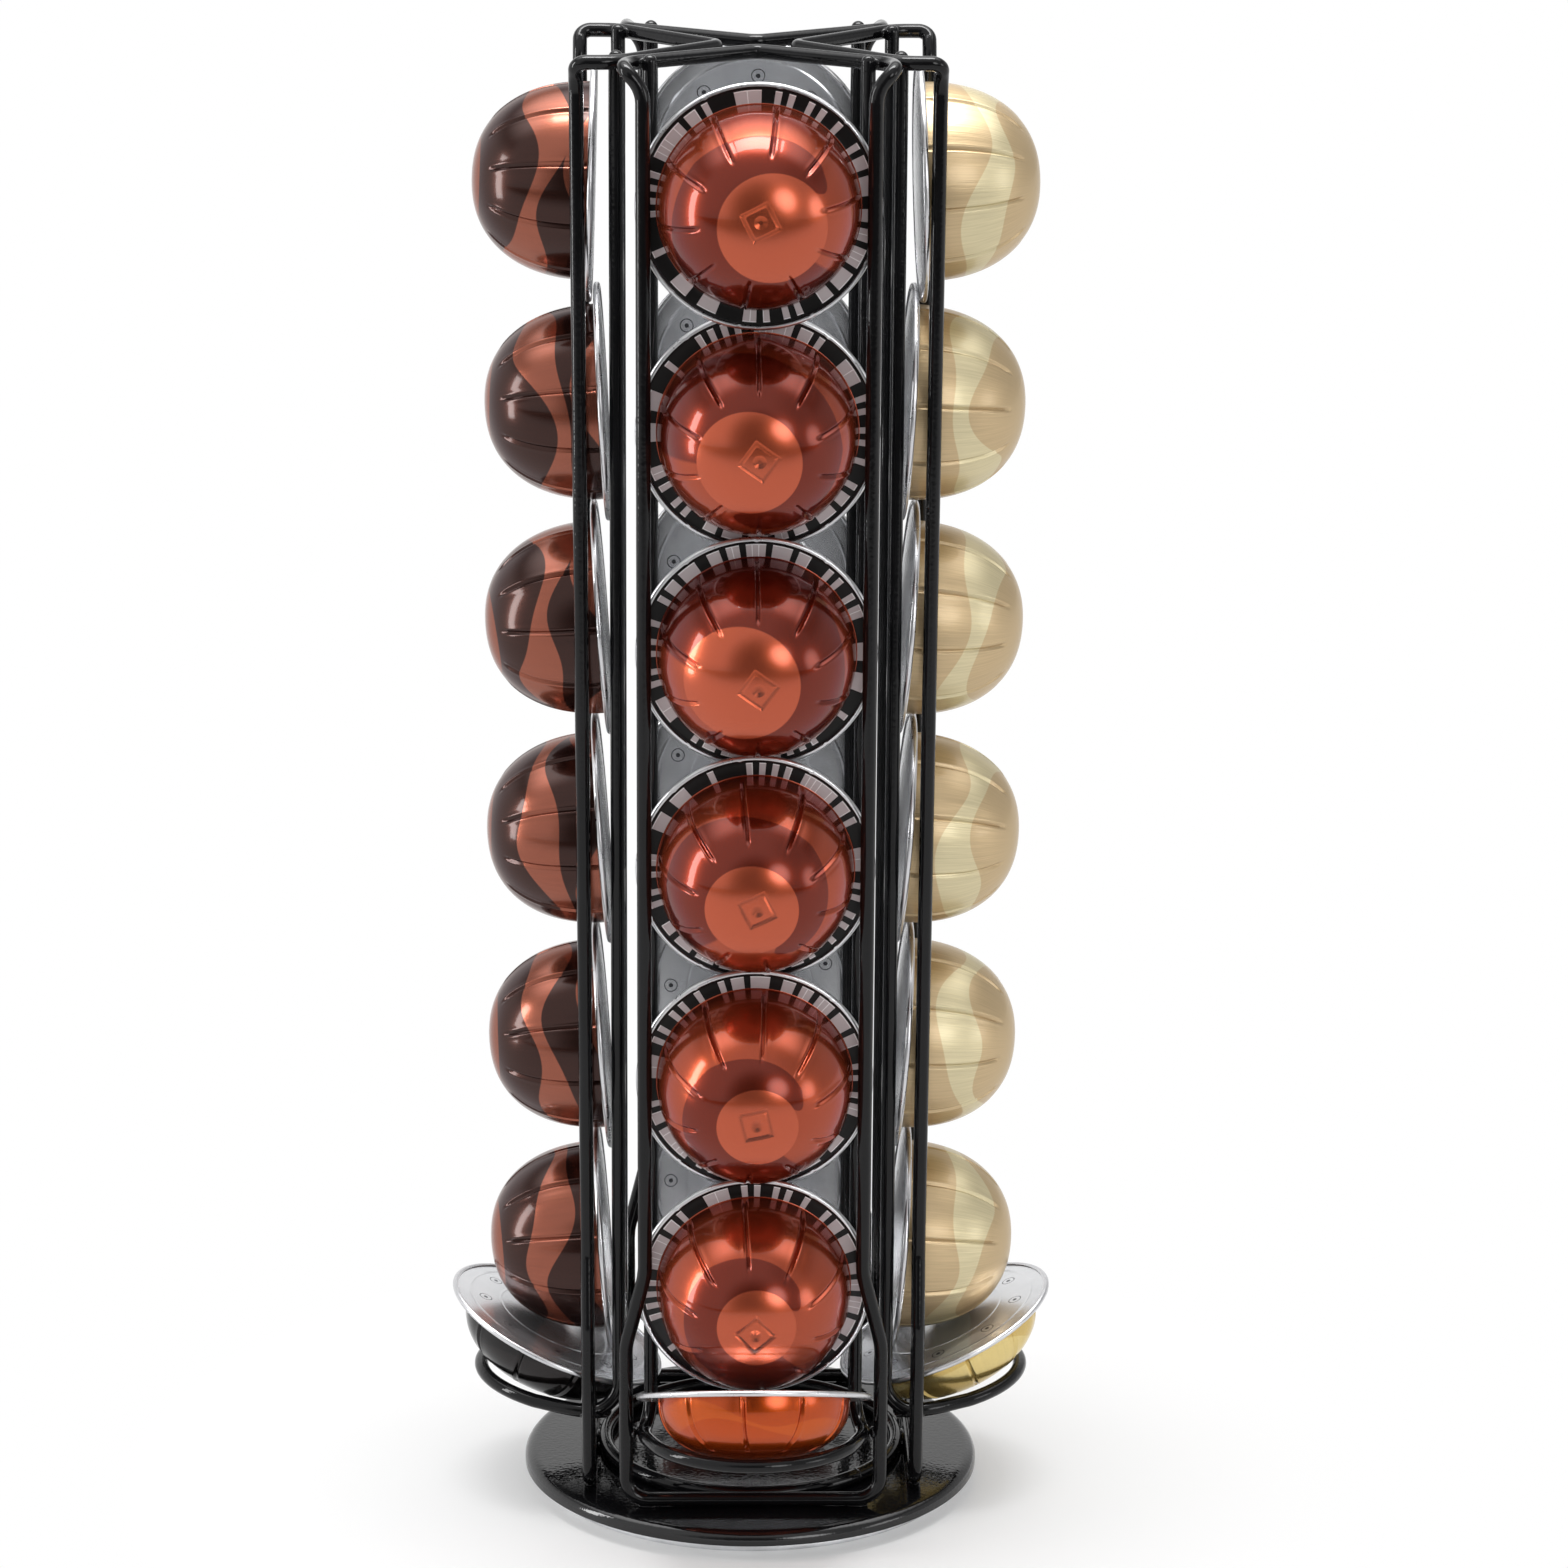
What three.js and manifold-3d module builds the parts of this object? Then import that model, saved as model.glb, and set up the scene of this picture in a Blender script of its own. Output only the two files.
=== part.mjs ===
// A turning wire rack for round coffee capsules, with four full columns.
// Millimetres, +Z up. The origin is on the table, under the rack's pivot.
// Each column is drawn facing -Y and turned about Z to its place.
import * as THREE from 'three';
import { mergeVertices } from 'three/addons/utils/BufferGeometryUtils.js';
import Module from 'manifold-3d';

const wasm = await Module();
wasm.setup();

// Counts
const columnCount = 4;
const stackedPerColumn = 6;
const ballCount = 12;
const nutSides = 6;

// Clearances
const weldGap = 0.2;
const seatGap = 0.3;
const foilBulge = 0.4;
const stackGap = 0.8;
const runningGap = 0.15;

// Sheet and wire stock
const wireDiameter = 3.7;
const plateSheet = 1.2;
const footSheet = 2.0;
const padThickness = 1.0;
const raceSheet = 0.5;

// Foot, bearing and turning plate
const plateRadius = 60.8;
const plateFlatRadius = 57.4;
const plateRimHeight = 4.2;
const footRadius = 56.8;
const padRadius = 52;
const padHoleRadius = 24;
const plateShoulderShares = [[0, 0], [0.06, 0.5], [0.35, 0.83], [1, 1]];
const raceOuterRadius = 43;
const raceWidth = 12;
const ballDiameter = 2.0;
const cageWidth = 6;
const cageSheet = 0.8;
const boltDiameter = 6;
const boltHeadDiameter = 12;
const boltHeadHeight = 0.8;
const boltProud = 1.5;
const washerDiameter = 14;
const washerSheet = 0.9;
const nutAcrossCorners = 11.5;
const nutHeight = 4.2;

// Wire rack
const rackHeight = 386.8;
const railLateral = 26.7;
const railDepth = 35.1;
const railTipRadius = 1.6;
const topWireDrop = 2.3;
const armMeetDepth = 9.5;
const apexBend = 3.2;
const hookLateral = 33.0;
const hookPlanBend = 9.5;
const hookDownBend = 2.8;
const hookLength = 5.0;
const guideTopLateral = 28.4;
const guideTopDepth = 44.9;
const guideTopBend = 9;
const guideLowLateral = 28.2;
const flareTopHeight = 73;
const flareBottomHeight = 53;
const flareLateral = 33.2;
const flareBend = 16;
const barBend = 6;
const baseRingRadius = 39.1;
const railFootBend = 8;
const catchSideDepth = 44.5;
const catchSideBend = 18;
const catchCentreDepth = 39.2;
const catchReach = 33.2;
const catchHeight = 28.4;
const catchRise = 5.5;

// Capsules
const flangeRadius = 30.5;
const rimThickness = 1.6;
const rimWidth = 1.1;
const flangeSheet = 0.7;
const domeRadius = 25;
const tallDomeHeight = 31;
const shallowDomeHeight = 17;
const tallRoundness = 2.25;
const shallowRoundness = 2.5;
const stackLean = 4.2;
const stackDepth = 38.5;
const secondLean = 3.0;
const secondDepth = 38.1;
const topLean = -1.5;
const topDepth = 40.8;
const seatTip = 24;
const seatOverhang = 12.4;
const seatRise = 14.6;

// Fineness of the facets
const wireSides = 8;
const bendStep = Math.PI / 6;
const catchSteps = 10;
const baseRingSteps = 36;
const discSteps = 36;
const capsuleSteps = 16;
const domeAngleShares = [0.14, 0.4, 0.68, 1];
const smallRoundSteps = 20;
const ballSides = 6;

const wireRadius = wireDiameter / 2;
const quarterTurn = Math.PI / 2;
const raceInnerRadius = raceOuterRadius - raceWidth;
const ballPathRadius = raceOuterRadius - raceWidth / 2;
const seatDepth = catchCentreDepth + seatOverhang;
const seatHeight = catchHeight + seatRise;

// Heights of the flat parts, each on the one below it
const footBottom = padThickness + runningGap;
const footTop = footBottom + footSheet;
const lowerRaceBottom = footTop + runningGap;
const ballHeight = lowerRaceBottom + raceSheet + runningGap + ballDiameter / 2;
const upperRaceBottom = ballHeight + ballDiameter / 2 + runningGap;
const plateBottom = upperRaceBottom + raceSheet + runningGap;
const plateTop = plateBottom + plateSheet;
const baseWireHeight = plateTop + weldGap + wireRadius;

const blackCoat = { color: 0x101012, roughness: 0.22, metalness: 0 };
const galvanised = { color: 0xb9bcc0, roughness: 0.38, metalness: 0.9 };
const bearingSteel = { color: 0xc8cacd, roughness: 0.25, metalness: 1 };
const softPad = { color: 0x26262a, roughness: 0.9, metalness: 0 };
const columnFoils = [
	{ color: 0xb5432a, roughness: 0.3, metalness: 0.85 },
	{ color: 0xcdb26c, roughness: 0.32, metalness: 0.85 },
	{ color: 0x6b2418, roughness: 0.3, metalness: 0.85 },
	{ color: 0x3a1512, roughness: 0.28, metalness: 0.85 },
];

const rack = new THREE.Group();

function radians(degrees) {
	return THREE.MathUtils.degToRad(degrees);
}

// A point of a column: sideways from its middle, out from the pivot, and above the table.
function place(lateral, depth, height) {
	return new THREE.Vector3(lateral, -depth, height);
}

function addMesh(parent, name, geometry, finish) {
	const mesh = new THREE.Mesh(geometry, new THREE.MeshStandardMaterial(finish));
	mesh.name = name;
	parent.add(mesh);
	return mesh;
}

// A wire's centre line through its stations, one station to each step.
class BentLine extends THREE.Curve {
	constructor(stations) {
		super();
		this.stations = stations;
	}

	getPoint(share, target = new THREE.Vector3()) {
		const last = this.stations.length - 1;
		const along = share * last;
		const before = Math.min(Math.floor(along), last - 1);
		return target.lerpVectors(this.stations[before], this.stations[before + 1], along - before);
	}

	getUtoTmapping(share) {
		return share;
	}
}

// The stations of a wire that runs straight from corner to corner and turns each on its radius.
function bend(corners) {
	const stations = [];
	corners.forEach(({ at, radius }, index) => {
		if (!radius) {
			stations.push(at);
			return;
		}
		const before = at.clone().sub(corners[index - 1].at).normalize();
		const after = corners[index + 1].at.clone().sub(at).normalize();
		const turn = before.angleTo(after);
		const start = at.clone().addScaledVector(before, -radius * Math.tan(turn / 2));
		const inward = after.clone().sub(before).normalize();
		const centre = at.clone().addScaledVector(inward, radius / Math.cos(turn / 2));
		const axis = before.clone().cross(after).normalize();
		const steps = Math.ceil(turn / bendStep);
		for (let step = 0; step <= steps; step += 1) {
			const arm = start.clone().sub(centre).applyAxisAngle(axis, (turn * step) / steps);
			stations.push(centre.clone().add(arm));
		}
	});
	return stations;
}

function wireGeometry(stations) {
	const section = new THREE.Shape();
	section.absarc(0, 0, wireRadius, 0, 2 * Math.PI);
	return new THREE.ExtrudeGeometry(section, {
		extrudePath: new BentLine(stations),
		steps: stations.length - 1,
		curveSegments: wireSides / 2,
	});
}

function toSolid(geometry) {
	const bare = geometry.clone();
	bare.deleteAttribute('normal');
	bare.deleteAttribute('uv');
	const merged = mergeVertices(bare);
	return new wasm.Manifold(new wasm.Mesh({
		numProp: 3,
		vertProperties: new Float32Array(merged.attributes.position.array),
		triVerts: new Uint32Array(merged.index.array),
	}));
}

function toGeometry(solid) {
	const mesh = solid.getMesh();
	const geometry = new THREE.BufferGeometry();
	geometry.setAttribute('position', new THREE.BufferAttribute(mesh.vertProperties, 3));
	geometry.setIndex(new THREE.BufferAttribute(mesh.triVerts, 1));
	const faceted = geometry.toNonIndexed();
	faceted.computeVertexNormals();
	return faceted;
}

// A wire whose two cut ends are rounded.
function roundEndedWire(stations) {
	const ends = [stations[0], stations[stations.length - 1]];
	const cap = (end) => {
		const ball = new THREE.SphereGeometry(railTipRadius, wireSides, wireSides / 2);
		ball.rotateX(quarterTurn);
		ball.translate(end.x, end.y, end.z);
		return toSolid(ball);
	};
	return toGeometry(ends.reduce((solid, end) => solid.add(cap(end)), toSolid(wireGeometry(stations))));
}

// A body of revolution about Z from [radius, height] pairs of its closed outline.
function turned(outline, steps) {
	const points = outline.map(([radius, height]) => new THREE.Vector2(radius, height));
	const geometry = new THREE.LatheGeometry(points, steps);
	geometry.rotateX(quarterTurn);
	return geometry;
}

function ringOutline(inner, outer, bottom, top) {
	return [[inner, bottom], [outer, bottom], [outer, top], [inner, top], [inner, bottom]];
}

function discOutline(outer, bottom, top) {
	return [[0, bottom], [outer, bottom], [outer, top], [0, top]];
}

// Rubber ring that the rack stands on.
function buildPad() {
	const outline = ringOutline(padHoleRadius, padRadius, 0, padThickness);
	addMesh(rack, 'non_slip_pad', turned(outline, discSteps), softPad);
}

// Fixed disc under the turning plate.
function buildFootDisc() {
	const hole = boltDiameter / 2 + runningGap;
	const outline = ringOutline(hole, footRadius, footBottom, footTop);
	addMesh(rack, 'foot_disc', turned(outline, discSteps), galvanised);
}

// Two flat races with a cage of balls between them.
function buildBearing() {
	const lower = ringOutline(raceInnerRadius, raceOuterRadius, lowerRaceBottom, lowerRaceBottom + raceSheet);
	const upper = ringOutline(raceInnerRadius, raceOuterRadius, upperRaceBottom, upperRaceBottom + raceSheet);
	addMesh(rack, 'lower_race', turned(lower, discSteps / 2), bearingSteel);
	addMesh(rack, 'upper_race', turned(upper, discSteps / 2), bearingSteel);
	const inner = ballPathRadius - cageWidth / 2;
	const outer = ballPathRadius + cageWidth / 2;
	const band = ringOutline(inner, outer, ballHeight - cageSheet / 2, ballHeight + cageSheet / 2);
	let cage = toSolid(turned(band, ballCount * 2));
	for (let ball = 0; ball < ballCount; ball += 1) {
		const angle = (2 * Math.PI * ball) / ballCount;
		const sphere = new THREE.SphereGeometry(ballDiameter / 2, ballSides, ballSides / 2);
		sphere.rotateX(quarterTurn);
		sphere.translate(ballPathRadius * Math.cos(angle), ballPathRadius * Math.sin(angle), ballHeight);
		cage = cage.add(toSolid(sphere));
	}
	addMesh(rack, 'ball_cage', toGeometry(cage), bearingSteel);
}

// Pressed plate with a rolled down rim, which carries the wires.
function buildBasePlate() {
	const hole = boltDiameter / 2 + runningGap;
	const rimDrop = plateTop - plateRimHeight;
	const shoulder = plateRadius - plateFlatRadius;
	const outer = plateShoulderShares.map(([inwards, upwards]) => (
		[plateRadius - shoulder * inwards, plateRimHeight + rimDrop * upwards]
	));
	const inner = outer.map(([radius, height]) => [radius - plateSheet, height - plateSheet]).reverse();
	inner[inner.length - 1] = [plateRadius - plateSheet, plateRimHeight];
	const outline = [[hole, plateTop], [hole, plateBottom], ...inner, ...outer, [hole, plateTop]];
	addMesh(rack, 'base_plate', turned(outline, discSteps), blackCoat);
}

// Bolt through the pivot, with its washer and nut on the plate.
function buildPivot() {
	const washerBottom = plateTop + runningGap;
	const nutBottom = washerBottom + washerSheet + runningGap;
	const boltTop = nutBottom + nutHeight + boltProud;
	const headTop = footBottom - runningGap;
	const shank = boltDiameter / 2;
	const bolt = [
		[0, headTop - boltHeadHeight],
		[boltHeadDiameter / 2, headTop - boltHeadHeight],
		[boltHeadDiameter / 2, headTop],
		[shank, headTop],
		[shank, boltTop],
		[0, boltTop],
	];
	addMesh(rack, 'pivot_bolt', turned(bolt, smallRoundSteps), bearingSteel);
	const hole = shank + runningGap;
	const washer = ringOutline(hole, washerDiameter / 2, washerBottom, washerBottom + washerSheet);
	addMesh(rack, 'pivot_washer', turned(washer, smallRoundSteps), bearingSteel);
	const corners = Array.from({ length: nutSides }, (_, index) => {
		const angle = (2 * Math.PI * index) / nutSides;
		return new THREE.Vector2(Math.cos(angle), Math.sin(angle)).multiplyScalar(nutAcrossCorners / 2);
	});
	const hexagon = new THREE.Shape(corners);
	const bore = new THREE.Path();
	bore.absarc(0, 0, hole, 0, 2 * Math.PI, true);
	hexagon.holes.push(bore);
	const nut = new THREE.ExtrudeGeometry(hexagon, {
		depth: nutHeight,
		bevelEnabled: false,
		curveSegments: wireSides,
	});
	nut.translate(0, 0, nutBottom);
	addMesh(rack, 'pivot_nut', nut, bearingSteel);
}

// Ring of wire on the plate, inside the four bottom bars.
function buildBaseRing() {
	const ring = new THREE.TorusGeometry(baseRingRadius, wireRadius, wireSides, baseRingSteps);
	ring.translate(0, 0, baseWireHeight);
	addMesh(rack, 'base_ring', ring, blackCoat);
}

const barDepth = baseRingRadius + wireDiameter + weldGap;
const topWireHeight = rackHeight - topWireDrop;
const guideTopHeight = topWireHeight - hookLength;

// How far out a guide stands at a height.
function guideDepth(height) {
	const share = (height - baseWireHeight) / (guideTopHeight - baseWireHeight);
	return THREE.MathUtils.lerp(barDepth, guideTopDepth, share);
}

// Both guides of a column and the bar across their feet, bent from one wire.
function buildGuideWire(column, name) {
	const side = (sign) => [
		{ at: place(sign * guideTopLateral, guideTopDepth, guideTopHeight - guideTopBend) },
		{ at: place(sign * guideLowLateral, guideDepth(flareTopHeight), flareTopHeight), radius: flareBend },
		{ at: place(sign * flareLateral, guideDepth(flareBottomHeight), flareBottomHeight), radius: flareBend },
		{ at: place(sign * flareLateral, barDepth, baseWireHeight), radius: barBend },
	];
	const corners = [...side(-1), ...side(1).reverse()];
	addMesh(column, name, wireGeometry(bend(corners)), blackCoat);
}

// The top wire: a V from the middle out past both rails, hooked forward and down on to the guides.
function buildTopWire(column, name) {
	const toRail = new THREE.Vector2(railLateral, railDepth - armMeetDepth);
	const clear = Math.asin((wireDiameter + weldGap) / toRail.length());
	const armAngle = toRail.angle() - clear;
	const kneeDepth = armMeetDepth + hookLateral * Math.tan(armAngle);
	const side = (sign) => [
		{ at: place(sign * guideTopLateral, guideTopDepth, guideTopHeight - guideTopBend + weldGap) },
		{ at: place(sign * guideTopLateral, guideTopDepth, guideTopHeight), radius: guideTopBend },
		{ at: place(sign * hookLateral, guideTopDepth, topWireHeight), radius: hookDownBend },
		{ at: place(sign * hookLateral, kneeDepth, topWireHeight), radius: hookPlanBend },
	];
	const apex = { at: place(0, armMeetDepth, topWireHeight), radius: apexBend };
	addMesh(column, name, wireGeometry(bend([...side(-1), apex, ...side(1).reverse()])), blackCoat);
}

// The back wire: two rails, and the catch ring that their feet bend out into.
function buildBackWire(column, name) {
	const sideLateral = flareLateral - wireDiameter - weldGap;
	const slope = Math.tan(radians(catchRise));
	const ringHeight = (depth) => catchHeight + (depth - catchCentreDepth) * slope;
	const rail = (sign) => [
		{ at: place(sign * railLateral, railDepth, rackHeight - railTipRadius) },
		{ at: place(sign * railLateral, railDepth, ringHeight(railDepth)), radius: railFootBend },
		{ at: place(sign * sideLateral, catchSideDepth, ringHeight(catchSideDepth)), radius: catchSideBend },
	];
	const arc = [];
	const firstAngle = 2 * Math.asin((catchSideDepth - catchCentreDepth) / catchReach) + bendStep / 2;
	for (let step = 0; step <= catchSteps; step += 1) {
		const angle = THREE.MathUtils.lerp(firstAngle, Math.PI - firstAngle, step / catchSteps);
		const depth = catchCentreDepth + catchReach * Math.sin(angle);
		arc.push({ at: place(-sideLateral * Math.cos(angle), depth, ringHeight(depth)) });
	}
	addMesh(column, name, roundEndedWire(bend([...rail(-1), ...arc, ...rail(1).reverse()])), blackCoat);
}

// Outline of a capsule: foil, rolled rim, flat flange and dome.
function capsuleOutline(domeHeight, roundness) {
	const outline = [
		[0, 0],
		[flangeRadius, 0],
		[flangeRadius, rimThickness],
		[flangeRadius - rimWidth, rimThickness],
		[flangeRadius - rimWidth, flangeSheet],
		[domeRadius, flangeSheet],
	];
	for (const share of domeAngleShares) {
		const angle = quarterTurn * share;
		const radius = share < 1 ? domeRadius * Math.cos(angle) ** (2 / roundness) : 0;
		outline.push([radius, flangeSheet + (domeHeight - flangeSheet) * Math.sin(angle) ** (2 / roundness)]);
	}
	return outline;
}

// A capsule with its foil's middle at a place of the column, its dome turned from straight up.
function addCapsule(column, name, outline, depth, height, domeTurn, finish) {
	const mesh = addMesh(column, name, turned(outline, capsuleSteps), finish);
	mesh.position.copy(place(0, depth, height));
	mesh.rotation.x = domeTurn;
	return mesh;
}

// Height of the stack's lowest capsule, whose flange stands on the foil of the capsule in the catch ring.
function lowestHeight() {
	const lean = radians(stackLean);
	const footDepth = stackDepth - flangeRadius * Math.sin(lean) + rimThickness * Math.cos(lean);
	const foilHeight = seatHeight + (footDepth - seatDepth) * Math.tan(radians(seatTip));
	const foot = flangeRadius * Math.cos(lean) + rimThickness * Math.sin(lean);
	return foilHeight + foot + (seatGap + foilBulge) / Math.cos(radians(seatTip));
}

// The stacked capsules of a column, from the top down, and the one in its catch ring.
function buildCapsules(column, side, finish) {
	const pitch = (flangeRadius + domeRadius + stackGap) / Math.cos(radians(stackLean));
	const tall = capsuleOutline(tallDomeHeight, tallRoundness);
	const shallow = capsuleOutline(shallowDomeHeight, shallowRoundness);
	for (let index = 0; index < stackedPerColumn; index += 1) {
		const height = lowestHeight() + pitch * (stackedPerColumn - 1 - index);
		const lean = [topLean, secondLean][index] ?? stackLean;
		const depth = [topDepth, secondDepth][index] ?? stackDepth;
		const name = `${side}_capsule_${index + 1}`;
		addCapsule(column, name, tall, depth, height, quarterTurn + radians(lean), finish);
	}
	const tipped = 2 * quarterTurn - radians(seatTip);
	addCapsule(column, `${side}_dispensed_capsule`, shallow, seatDepth, seatHeight, tipped, finish);
}

buildPad();
buildFootDisc();
buildBearing();
buildBasePlate();
buildPivot();
buildBaseRing();

['front', 'right', 'rear', 'left'].forEach((side, index) => {
	const column = new THREE.Group();
	column.rotation.z = (2 * Math.PI * index) / columnCount;
	rack.add(column);
	buildGuideWire(column, `${side}_guide_wire`);
	buildTopWire(column, `${side}_top_wire`);
	buildBackWire(column, `${side}_back_wire`);
	buildCapsules(column, side, columnFoils[index]);
});

export default rack;
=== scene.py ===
"""A turning wire rack for round coffee capsules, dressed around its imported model.

The rack is four wire columns welded on a pressed plate that turns on a fixed foot. Each column
holds six upright capsules between its guides and one tipped capsule in its catch ring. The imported
model gives the places, and this script gives the fine shapes and the finishes.
"""

import logging
import math
import random
from dataclasses import dataclass, field
from enum import Enum
from typing import NamedTuple, Sequence

import bpy
from mathutils import Matrix, Vector


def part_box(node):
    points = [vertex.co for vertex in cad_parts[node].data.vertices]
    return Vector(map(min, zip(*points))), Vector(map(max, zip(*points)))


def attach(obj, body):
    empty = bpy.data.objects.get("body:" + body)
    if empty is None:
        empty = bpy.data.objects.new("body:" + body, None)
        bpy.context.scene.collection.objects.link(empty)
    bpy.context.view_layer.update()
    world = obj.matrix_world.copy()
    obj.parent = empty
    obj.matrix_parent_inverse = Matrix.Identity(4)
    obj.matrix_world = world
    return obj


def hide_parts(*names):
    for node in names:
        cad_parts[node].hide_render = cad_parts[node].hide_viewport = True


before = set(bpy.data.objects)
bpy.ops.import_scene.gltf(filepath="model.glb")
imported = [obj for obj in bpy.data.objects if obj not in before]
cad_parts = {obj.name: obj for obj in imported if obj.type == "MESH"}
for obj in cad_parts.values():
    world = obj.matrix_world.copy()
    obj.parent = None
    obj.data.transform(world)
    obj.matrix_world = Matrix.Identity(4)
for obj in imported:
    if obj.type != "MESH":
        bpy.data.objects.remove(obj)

Point = tuple[float, float]
Pair = tuple[float, float]
Colour = tuple[float, float, float]
Place = tuple[float, float, float]
Piece = bpy.types.Object
Material = bpy.types.Material
Socket = bpy.types.NodeSocket

METRES_PER_MM = 0.001
FULL_TURN = 2 * math.pi
QUARTER_TURN = math.pi / 2
WHITE = (1.0, 1.0, 1.0)
SPUN_MERGE = 0.002
WIRE_MERGE = 0.01
WIRE_SMOOTH = 40
SHEET_SMOOTH = 35
SMALL_SMOOTH = 30
CAPSULE_SMOOTH = 50
BEAD_SEGMENTS = 20
BEAD_RINGS = 12
PRINT_SHIFTS = (1.5, 1.2)
PRINT_SCALES = (0.9, 1.15)
OWN_PLACE = "own_place"
PRINT_PLACE = "print_place"

log = logging.getLogger("capsule_rack")


class Side(Enum):
    """The four columns, in the order in which a quarter turn about Z reaches them."""

    FRONT = 0
    RIGHT = 1
    REAR = 2
    LEFT = 3

    @property
    def label(self) -> str:
        """The column's word in the names of its nodes."""
        return self.name.lower()

    @property
    def turn(self) -> Matrix:
        """The turn that carries a column drawn at the front to its side."""
        return Matrix.Rotation(QUARTER_TURN * self.value, 4, "Z")


class Zone(Enum):
    """The parts of a capsule's surface that have finishes of their own."""

    DOME = 0
    BAND = 1
    RIM = 2
    FOIL = 3


class Slot(Enum):
    """The record's material slots."""

    BLACK = "black_coat"
    DISC = "galvanised_disc"
    STEEL = "bearing_steel"
    PAD = "soft_pad"
    FRONT = "copper_red_foil"
    RIGHT = "champagne_foil"
    REAR = "chestnut_foil"
    LEFT = "dark_brown_foil"


def metres(*millimetres: float) -> Vector:
    """Turns three lengths in millimetres into a vector in metres."""
    return Vector(millimetres) * METRES_PER_MM


def place(lateral: float, depth: float, height: float) -> Vector:
    """A point of the front column, in millimetres: sideways, out from the pivot, and up."""
    return Vector((lateral, -depth, height))


def levels(node: str) -> Pair:
    """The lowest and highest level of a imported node, in millimetres."""
    low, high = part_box(node)
    return low.z / METRES_PER_MM, high.z / METRES_PER_MM


def outer_radius(node: str) -> float:
    """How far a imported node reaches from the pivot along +X, in millimetres."""
    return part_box(node)[1].x / METRES_PER_MM


def smooth_share(value: float, low: float, high: float) -> float:
    """Climbs smoothly from 0 at low to 1 at high."""
    share = min(1.0, max(0.0, (value - low) / (high - low)))
    return share * share * (3 - 2 * share)


def deselect_all() -> None:
    """Clears the selection, so that an operator meets only what is added next."""
    if bpy.context.object is not None and bpy.context.object.mode != "OBJECT":
        bpy.ops.object.mode_set(mode="OBJECT")
    bpy.ops.object.select_all(action="DESELECT")


def select_only(piece: Piece) -> None:
    """Makes one piece the selected and active one."""
    deselect_all()
    piece.select_set(True)
    bpy.context.view_layer.objects.active = piece


def smooth_by_angle(piece: Piece, degrees: float) -> None:
    """Shades a piece smooth, with sharp edges where its faces meet past an angle."""
    select_only(piece)
    bpy.ops.object.shade_smooth_by_angle(angle=math.radians(degrees))


def join_pieces(kept: Piece, others: Sequence[Piece]) -> None:
    """Joins other objects into one."""
    select_only(kept)
    for other in others:
        other.select_set(True)
    bpy.ops.object.join()


def apply_place() -> None:
    """Moves the active piece's place and turn into its mesh."""
    bpy.ops.object.transform_apply(location=True, rotation=True, scale=True)


def close_mesh(reach: float) -> None:
    """Merges the doubled points of the mesh in edit mode and turns its faces outwards.

    Args:
        reach: How far apart doubled points may be, in millimetres.
    """
    bpy.ops.mesh.select_all(action="SELECT")
    bpy.ops.mesh.remove_doubles(threshold=METRES_PER_MM * reach)
    bpy.ops.mesh.normals_make_consistent(inside=False)
    bpy.ops.object.mode_set(mode="OBJECT")


def spin_outline(name: str, outline: Sequence[Point], steps: int) -> Piece:
    """Draws an outline vertex by vertex and spins it about Z into a closed body.

    Args:
        name: The name of the new object.
        outline: Radius and height in millimetres, from the axis to the axis or closed on itself.
        steps: The number of columns round the body.

    Returns:
        The new object, with its normals outwards.
    """
    deselect_all()
    start = metres(outline[0][0], 0, outline[0][1])
    bpy.ops.mesh.primitive_plane_add(size=METRES_PER_MM, location=start)
    piece = bpy.context.object
    apply_place()
    bpy.ops.object.mode_set(mode="EDIT")
    bpy.ops.mesh.select_mode(type="VERT")
    bpy.ops.mesh.merge(type="CENTER")
    for before, after in zip(outline, outline[1:]):
        step = metres(after[0] - before[0], 0, after[1] - before[1])
        bpy.ops.mesh.extrude_vertices_move(TRANSFORM_OT_translate={"value": step})
    bpy.ops.mesh.select_all(action="SELECT")
    bpy.ops.mesh.spin(steps=steps, angle=FULL_TURN, center=(0, 0, 0), axis=(0, 0, 1))
    close_mesh(SPUN_MERGE)
    piece.name = piece.data.name = name
    return piece


def dress(piece: Piece, *materials: Material) -> None:
    """Gives a piece its materials in place of any that it had."""
    if piece.data.materials:
        piece.data.materials.clear()
    for material in materials:
        piece.data.materials.append(material)


def seat(piece: Piece, materials: Sequence[Material], body: str, slot: Slot, *nodes: str) -> None:
    """Dresses a new piece and lets it ride on a body in place of its nodes.

    Args:
        piece: The new piece.
        materials: Its materials, in the order of its faces' numbers.
        body: The body that it moves with.
        slot: The record's material slot, which is not used.
        nodes: The nodes that it stands for.
    """
    dress(piece, *materials)
    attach(piece, body)
    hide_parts(*nodes)
    log.info("%s: %d faces, rides on %s", piece.name, len(piece.data.polygons), body)


class Corner(NamedTuple):
    """A corner of a bent wire, in millimetres, and the radius of its bend."""

    at: Vector
    radius: float = 0.0


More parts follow.
